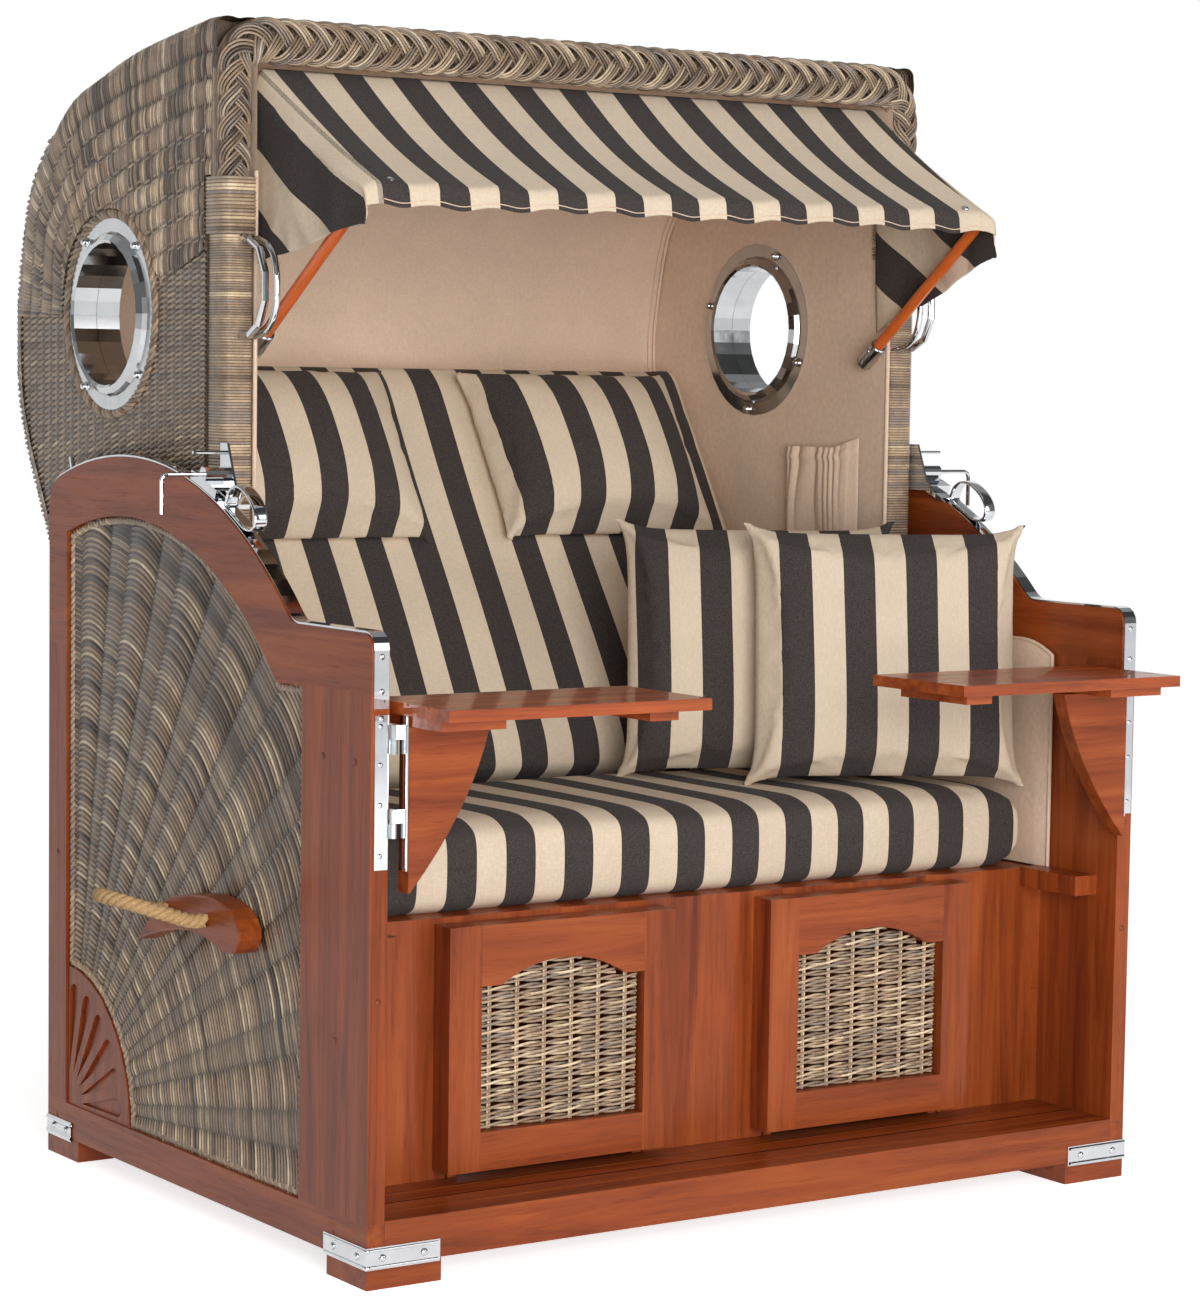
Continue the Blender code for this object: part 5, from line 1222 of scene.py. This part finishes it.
def smallMetal():
    facts = {"ring": 0.126, "outer": 0.5893, "inner": 0.5357, "strip": (0.6125, -0.4972), "strap": 0.04}
    screws, nuts = [], []
    for side, hand in sides:
        out = Vector((side, 0, 0))
        # porthole nuts, outside and inside
        for face, way, clocks in ((facts["outer"], 1, (1.4, 4.4, 7.2, 10.8)),
                                  (facts["inner"], -1, (2.4, 5.8, 8.2, 11.2))):
            for clock in clocks:
                a = math.radians(90 - clock * 30)
                point = (side * face, hood["port"][0] + facts["ring"] * math.cos(a) * side,
                         hood["port"][1] + facts["ring"] * math.sin(a))
                nuts.append((capNut(0.0052), point, out * way))
        # screws in the chrome strip's front drop
        x, y = facts["strip"]
        for z in (0.788, 0.745, 0.712):
            screws.append((dome(0.0042, 0.002), (side * x, y, z), (0, -1, 0)))
        # screws in the corner straps, on both faces
        low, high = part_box("corner_strap_" + hand)
        reach = max(abs(low.x), abs(high.x))
        for k in (0.024, 0.084):
            screws.append((dome(0.0052, 0.0034), (side * (reach - k), low.y, facts["strap"]), (0, -1, 0)))
            screws.append((dome(0.0052, 0.0034), (side * reach, low.y + k, facts["strap"]), out))
    lathePiece("port_nuts", nuts, "hood", "chrome", 16)
    lathePiece("base_screws", screws, "base", "chrome", 14)


def grabRods(side, hand):
    # the second rod of the pull handle, beside the first
    shares = ((0.0, 0.0), (0.3, 0.015), (0.62, 0.07), (0.87, 0.19), (0.98, 0.35), (1.0, 0.5),
              (0.98, 0.65), (0.87, 0.81), (0.62, 0.93), (0.3, 0.985), (0.0, 1.0))
    line = smoothLine([(side * 0.5435, -0.030 - 0.066 * out, 1.18 + 0.13 * up) for out, up in shares], 5)
    tubesPiece("grab_rod_" + hand, [(line, 0.0046, (1, 0, 0), {})], "hood", "chrome", 12)


def bowSockets():
    # bright sleeves over the poles' feet, each with a screw
    turned, screws = [], []
    for side, hand in sides:
        foot, head = Vector((side * 0.522, -0.001, 1.167)), Vector((side * 0.511, -0.271, 1.364))
        way = (head - foot).normalized()
        turned.append(([(-0.017, 0.004), (-0.016, 0.0105), (-0.013, 0.0122), (0.030, 0.0122), (0.0325, 0.0118),
                        (0.0327, 0.0088)], foot, way))
        out = Vector((-side, 0, 0))
        screws.append((dome(0.0036, 0.002), foot + way * 0.018 + out * 0.0122, out))
    lathePiece("bow_sockets", turned + screws, "awning", "steel", 20)


def ringHandle(side, hand):
    # the lock's ring handle: one rounded band bent to a ring
    facts = {"base": 0.6788, "tall": 0.042, "middle": 0.6125, "wide": 0.0198, "thick": 0.0044,
             "marks": ((25.2, 0.05), (26.5, 0.02), (28.2, 0.02), (30.0, 0.05), (31.4, 0.25), (31.8, 0.55),
                       (31.1, 0.85), (29.5, 1.02), (27.4, 1.03), (25.9, 0.86), (25.1, 0.55), (24.95, 0.25))}
    ring = []
    for angle, share in facts["marks"]:
        far, a = facts["base"] + share * facts["tall"], math.radians(angle)
        ring.append((hood["pivot"][0] - far * math.sin(a), hood["pivot"][1] + far * math.cos(a)))
    line = smoothLine(ring[-2:] + ring + ring[:3], 6)[12:-12]
    outer = -outwards(line)
    turns = np.linspace(0, 2 * np.pi, 20, endpoint=False)
    across = np.sign(np.cos(turns)) * np.abs(np.cos(turns)) ** 0.45 * facts["wide"] / 2
    out = np.sign(np.sin(turns)) * np.abs(np.sin(turns)) ** 0.8 * facts["thick"] / 2
    points = np.zeros((len(line), len(turns), 3))
    points[..., 0] = side * (facts["middle"] + across)[None]
    points[..., 1:] = line[:, None] + outer[:, None] * out[None, :, None]
    piece = gridPiece("ring_handle_" + hand, points, {}, "loop_" + hand, "chrome", wrap=True, flip=side > 0)
    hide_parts("lock_loop_" + hand)


def rearStraps():
    # a strap with two rolled beads round each rear corner, as in front
    facts = {"x": 0.6253, "y": 0.4293, "arm": 0.08, "low": 0.026, "high": 0.054, "thick": 0.0014, "bead": 0.0020}
    turned = []
    for side, hand in sides:
        x, y, arm = facts["x"], facts["y"], facts["arm"]
        spots = np.concatenate([np.linspace(0, 0.075, 8), np.linspace(0.078, 0.082, 5), np.linspace(0.085, 0.16, 8)])
        path = resample([(x, y - arm), (x, y), (x - arm, y)], spots)
        away = np.where(spots < 0.0795, 0.0, np.where(spots > 0.0805, np.pi / 2, np.pi / 4))
        normal = np.stack([np.cos(away), np.sin(away)], -1)
        tall = facts["high"] - facts["low"]
        section = [(0.0, 0.0), (facts["thick"], 0.0)]
        for bead in (0.16, 0.84):
            section += [(facts["thick"] + facts["bead"] * math.sin(a), (bead - 0.09 * math.cos(a)) * tall)
                        for a in np.linspace(0, math.pi, 7)]
        section += [(facts["thick"], tall), (0.0, tall)]
        rows = np.array([[(side * (p[0] + n[0] * out), p[1] + n[1] * out, facts["low"] + up)
                          for out, up in section] for p, n in zip(path, normal)])
        gridPiece("rear_strap_" + hand, rows, {}, "base", "chrome", wrap=True, flip=side > 0)
        for k in (0.02, 0.06):
            turned.append((dome(0.0046, 0.003), (side * (x + 0.001), y - k, 0.04), (side, 0, 0)))
            turned.append((dome(0.0046, 0.003), (side * (x - k), y + 0.001, 0.04), (0, 1, 0)))
    lathePiece("rear_strap_screws", turned, "base", "chrome", 14)


def smallParts():
    # wood plugs over the frame's bolts, the hinges' screws and the awning's snaps
    plugs = []
    for side, hand in sides:
        for y, z in ((-0.455, 0.655), (-0.375, 0.655), (-0.41, 0.30), (-0.41, 0.055), (0.40, 0.055), (0.40, 0.44)):
            plugs.append((flatPlug(0.0052), (side * 0.625, y, z), (side, 0, 0)))
        for z in (0.36, 0.62):
            plugs.append((flatPlug(0.0045), (side * 0.6125, -0.495, z), (0, -1, 0)))
    lathePiece("wood_plugs", plugs, "base", "plug", 16)
    leaf = {"x": 0.6137, "front": -0.4976, "low": 0.525, "tall": 0.191}
    heights = [leaf["low"] + share * leaf["tall"] for share in (0.09, 0.42, 0.68, 0.93)]
    turned = [(dome(0.0036, 0.0016), (side * leaf["x"], leaf["front"], z), (0, -1, 0))
              for side in (-1, 1) for z in heights]
    lathePiece("hinge_screws", turned, "base", "chrome", 12)
    snaps = [(dome(0.0052, 0.0035), (side * 0.478, -0.2755, 1.3815), (0, -0.5, 0.87)) for side in (-1, 1)]
    lathePiece("awning_snaps", snaps, "awning", "steel", 14)


def strapBeads():
    # two rolled beads along each front corner strap
    beads = []
    for side, hand in sides:
        low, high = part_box("corner_strap_" + hand)
        x, y = side * max(abs(low.x), abs(high.x)), low.y
        for z in (0.0295, 0.0505):
            path = [(x - side * 0.104, y, z), (x, y, z), (x, y + 0.104, z)]
            beads.append((resample(path, np.linspace(0, lengthOf(path), 60)), 0.0022, (0, 0, 1), {}))
    tubesPiece("strap_beads", beads, "base", "chrome", 8)


smallMetal()
strapBeads()
bowSockets()
for side, hand in sides:
    grabRods(side, hand)
    ringHandle(side, hand)
rearStraps()
smallParts()
print("metal")


# Floor, light and surroundings
def surroundings():
    mesh, reach = bpy.data.meshes.new("floor"), 14
    corners = [(x * reach, y * reach, 0) for x, y in ((-1, -1), (1, -1), (1, 1), (-1, 1))]
    fillMesh(mesh, np.array(corners), np.array([[0, 1, 2, 3]]), {})
    ground = bpy.data.objects.new("floor", mesh)
    scene.collection.objects.link(ground)
    finish = Finish("floor_paint")
    rays = finish.add("LightPath").outputs
    seen = finish.maths("MAXIMUM", rays["Is Camera Ray"], finish.maths("MAXIMUM", rays["Is Glossy Ray"],
                                                                   rays["Is Transmission Ray"]))
    finish.set(Base_Color=finish.mix(seen, (0.8, 0.8, 0.8, 1), (0.98, 0.98, 0.98, 1)), Roughness=0.9,
               Emission_Color=(1, 1, 1, 1), Emission_Strength=finish.maths("MULTIPLY", seen, 0.72))
    finish.shader.inputs["Specular IOR Level"].default_value = 0.0
    mesh.materials.append(finish.material)
    world = bpy.data.worlds.new("studio")
    scene.world = world
    world.use_nodes = True
    tree = world.node_tree
    sky = tree.nodes["Background"]

    def added(kind, **settings):
        node = tree.nodes.new("ShaderNode" + kind)
        for key, value in settings.items():
            setattr(node, key, value)
        return node

    path = added("LightPath")
    seen, level, shown = added("Math", operation="MAXIMUM"), added("MapRange"), added("MapRange")
    tree.links.new(path.outputs["Is Camera Ray"], seen.inputs[0])
    tree.links.new(path.outputs["Is Transmission Ray"], seen.inputs[1])
    level.inputs["To Min"].default_value = 0.28
    level.inputs["To Max"].default_value = 1.0
    tree.links.new(seen.outputs[0], level.inputs["Value"])
    # metal sees the pale backdrop behind the object and a dimmer room in front of it and above
    apart, room, back = added("SeparateXYZ"), added("ValToRGB"), added("ValToRGB")
    tree.links.new(added("TexCoord").outputs["Generated"], apart.inputs[0])
    tree.links.new(apart.outputs["Y"], back.inputs["Fac"])
    tree.links.new(apart.outputs["Z"], room.inputs["Fac"])
    for ramp, stops in ((back, ((0.0, 0.20), (0.16, 1.0))), (room, ((0.42, 1.0), (0.62, 0.34)))):
        for mark, (place, shade) in zip(ramp.color_ramp.elements, stops):
            mark.position, mark.color = place, (shade, shade, shade, 1)
    dim = added("Math", operation="MULTIPLY")
    tree.links.new(back.outputs[0], dim.inputs[0])
    tree.links.new(room.outputs[0], dim.inputs[1])
    tree.links.new(path.outputs["Is Glossy Ray"], shown.inputs["Value"])
    tree.links.new(level.outputs[0], shown.inputs["To Min"])
    tree.links.new(dim.outputs[0], shown.inputs["To Max"])
    tree.links.new(shown.outputs[0], sky.inputs["Strength"])
    sky.inputs["Color"].default_value = (1, 1, 1, 1)
    lamps = {"front": ((-1.9, -5.1, 1.2), 2.6, 212), "key": ((2.6, -4.6, 2.0), 2.2, 46),
             "fill": ((-4.2, -2.6, 2.2), 2.6, 5), "top": ((0.2, -0.4, 4.4), 3.0, 14)}
    for name, (place, size, power) in lamps.items():
        light = bpy.data.lights.new(name, "AREA")
        light.size = size
        light.energy = power
        lamp = bpy.data.objects.new(name, light)
        scene.collection.objects.link(lamp)
        aim = (Vector((0, 0, 0.8)) - Vector(place)).to_track_quat("-Z", "Y")
        lamp.matrix_world = Matrix.Translation(place) @ aim.to_matrix().to_4x4()


surroundings()
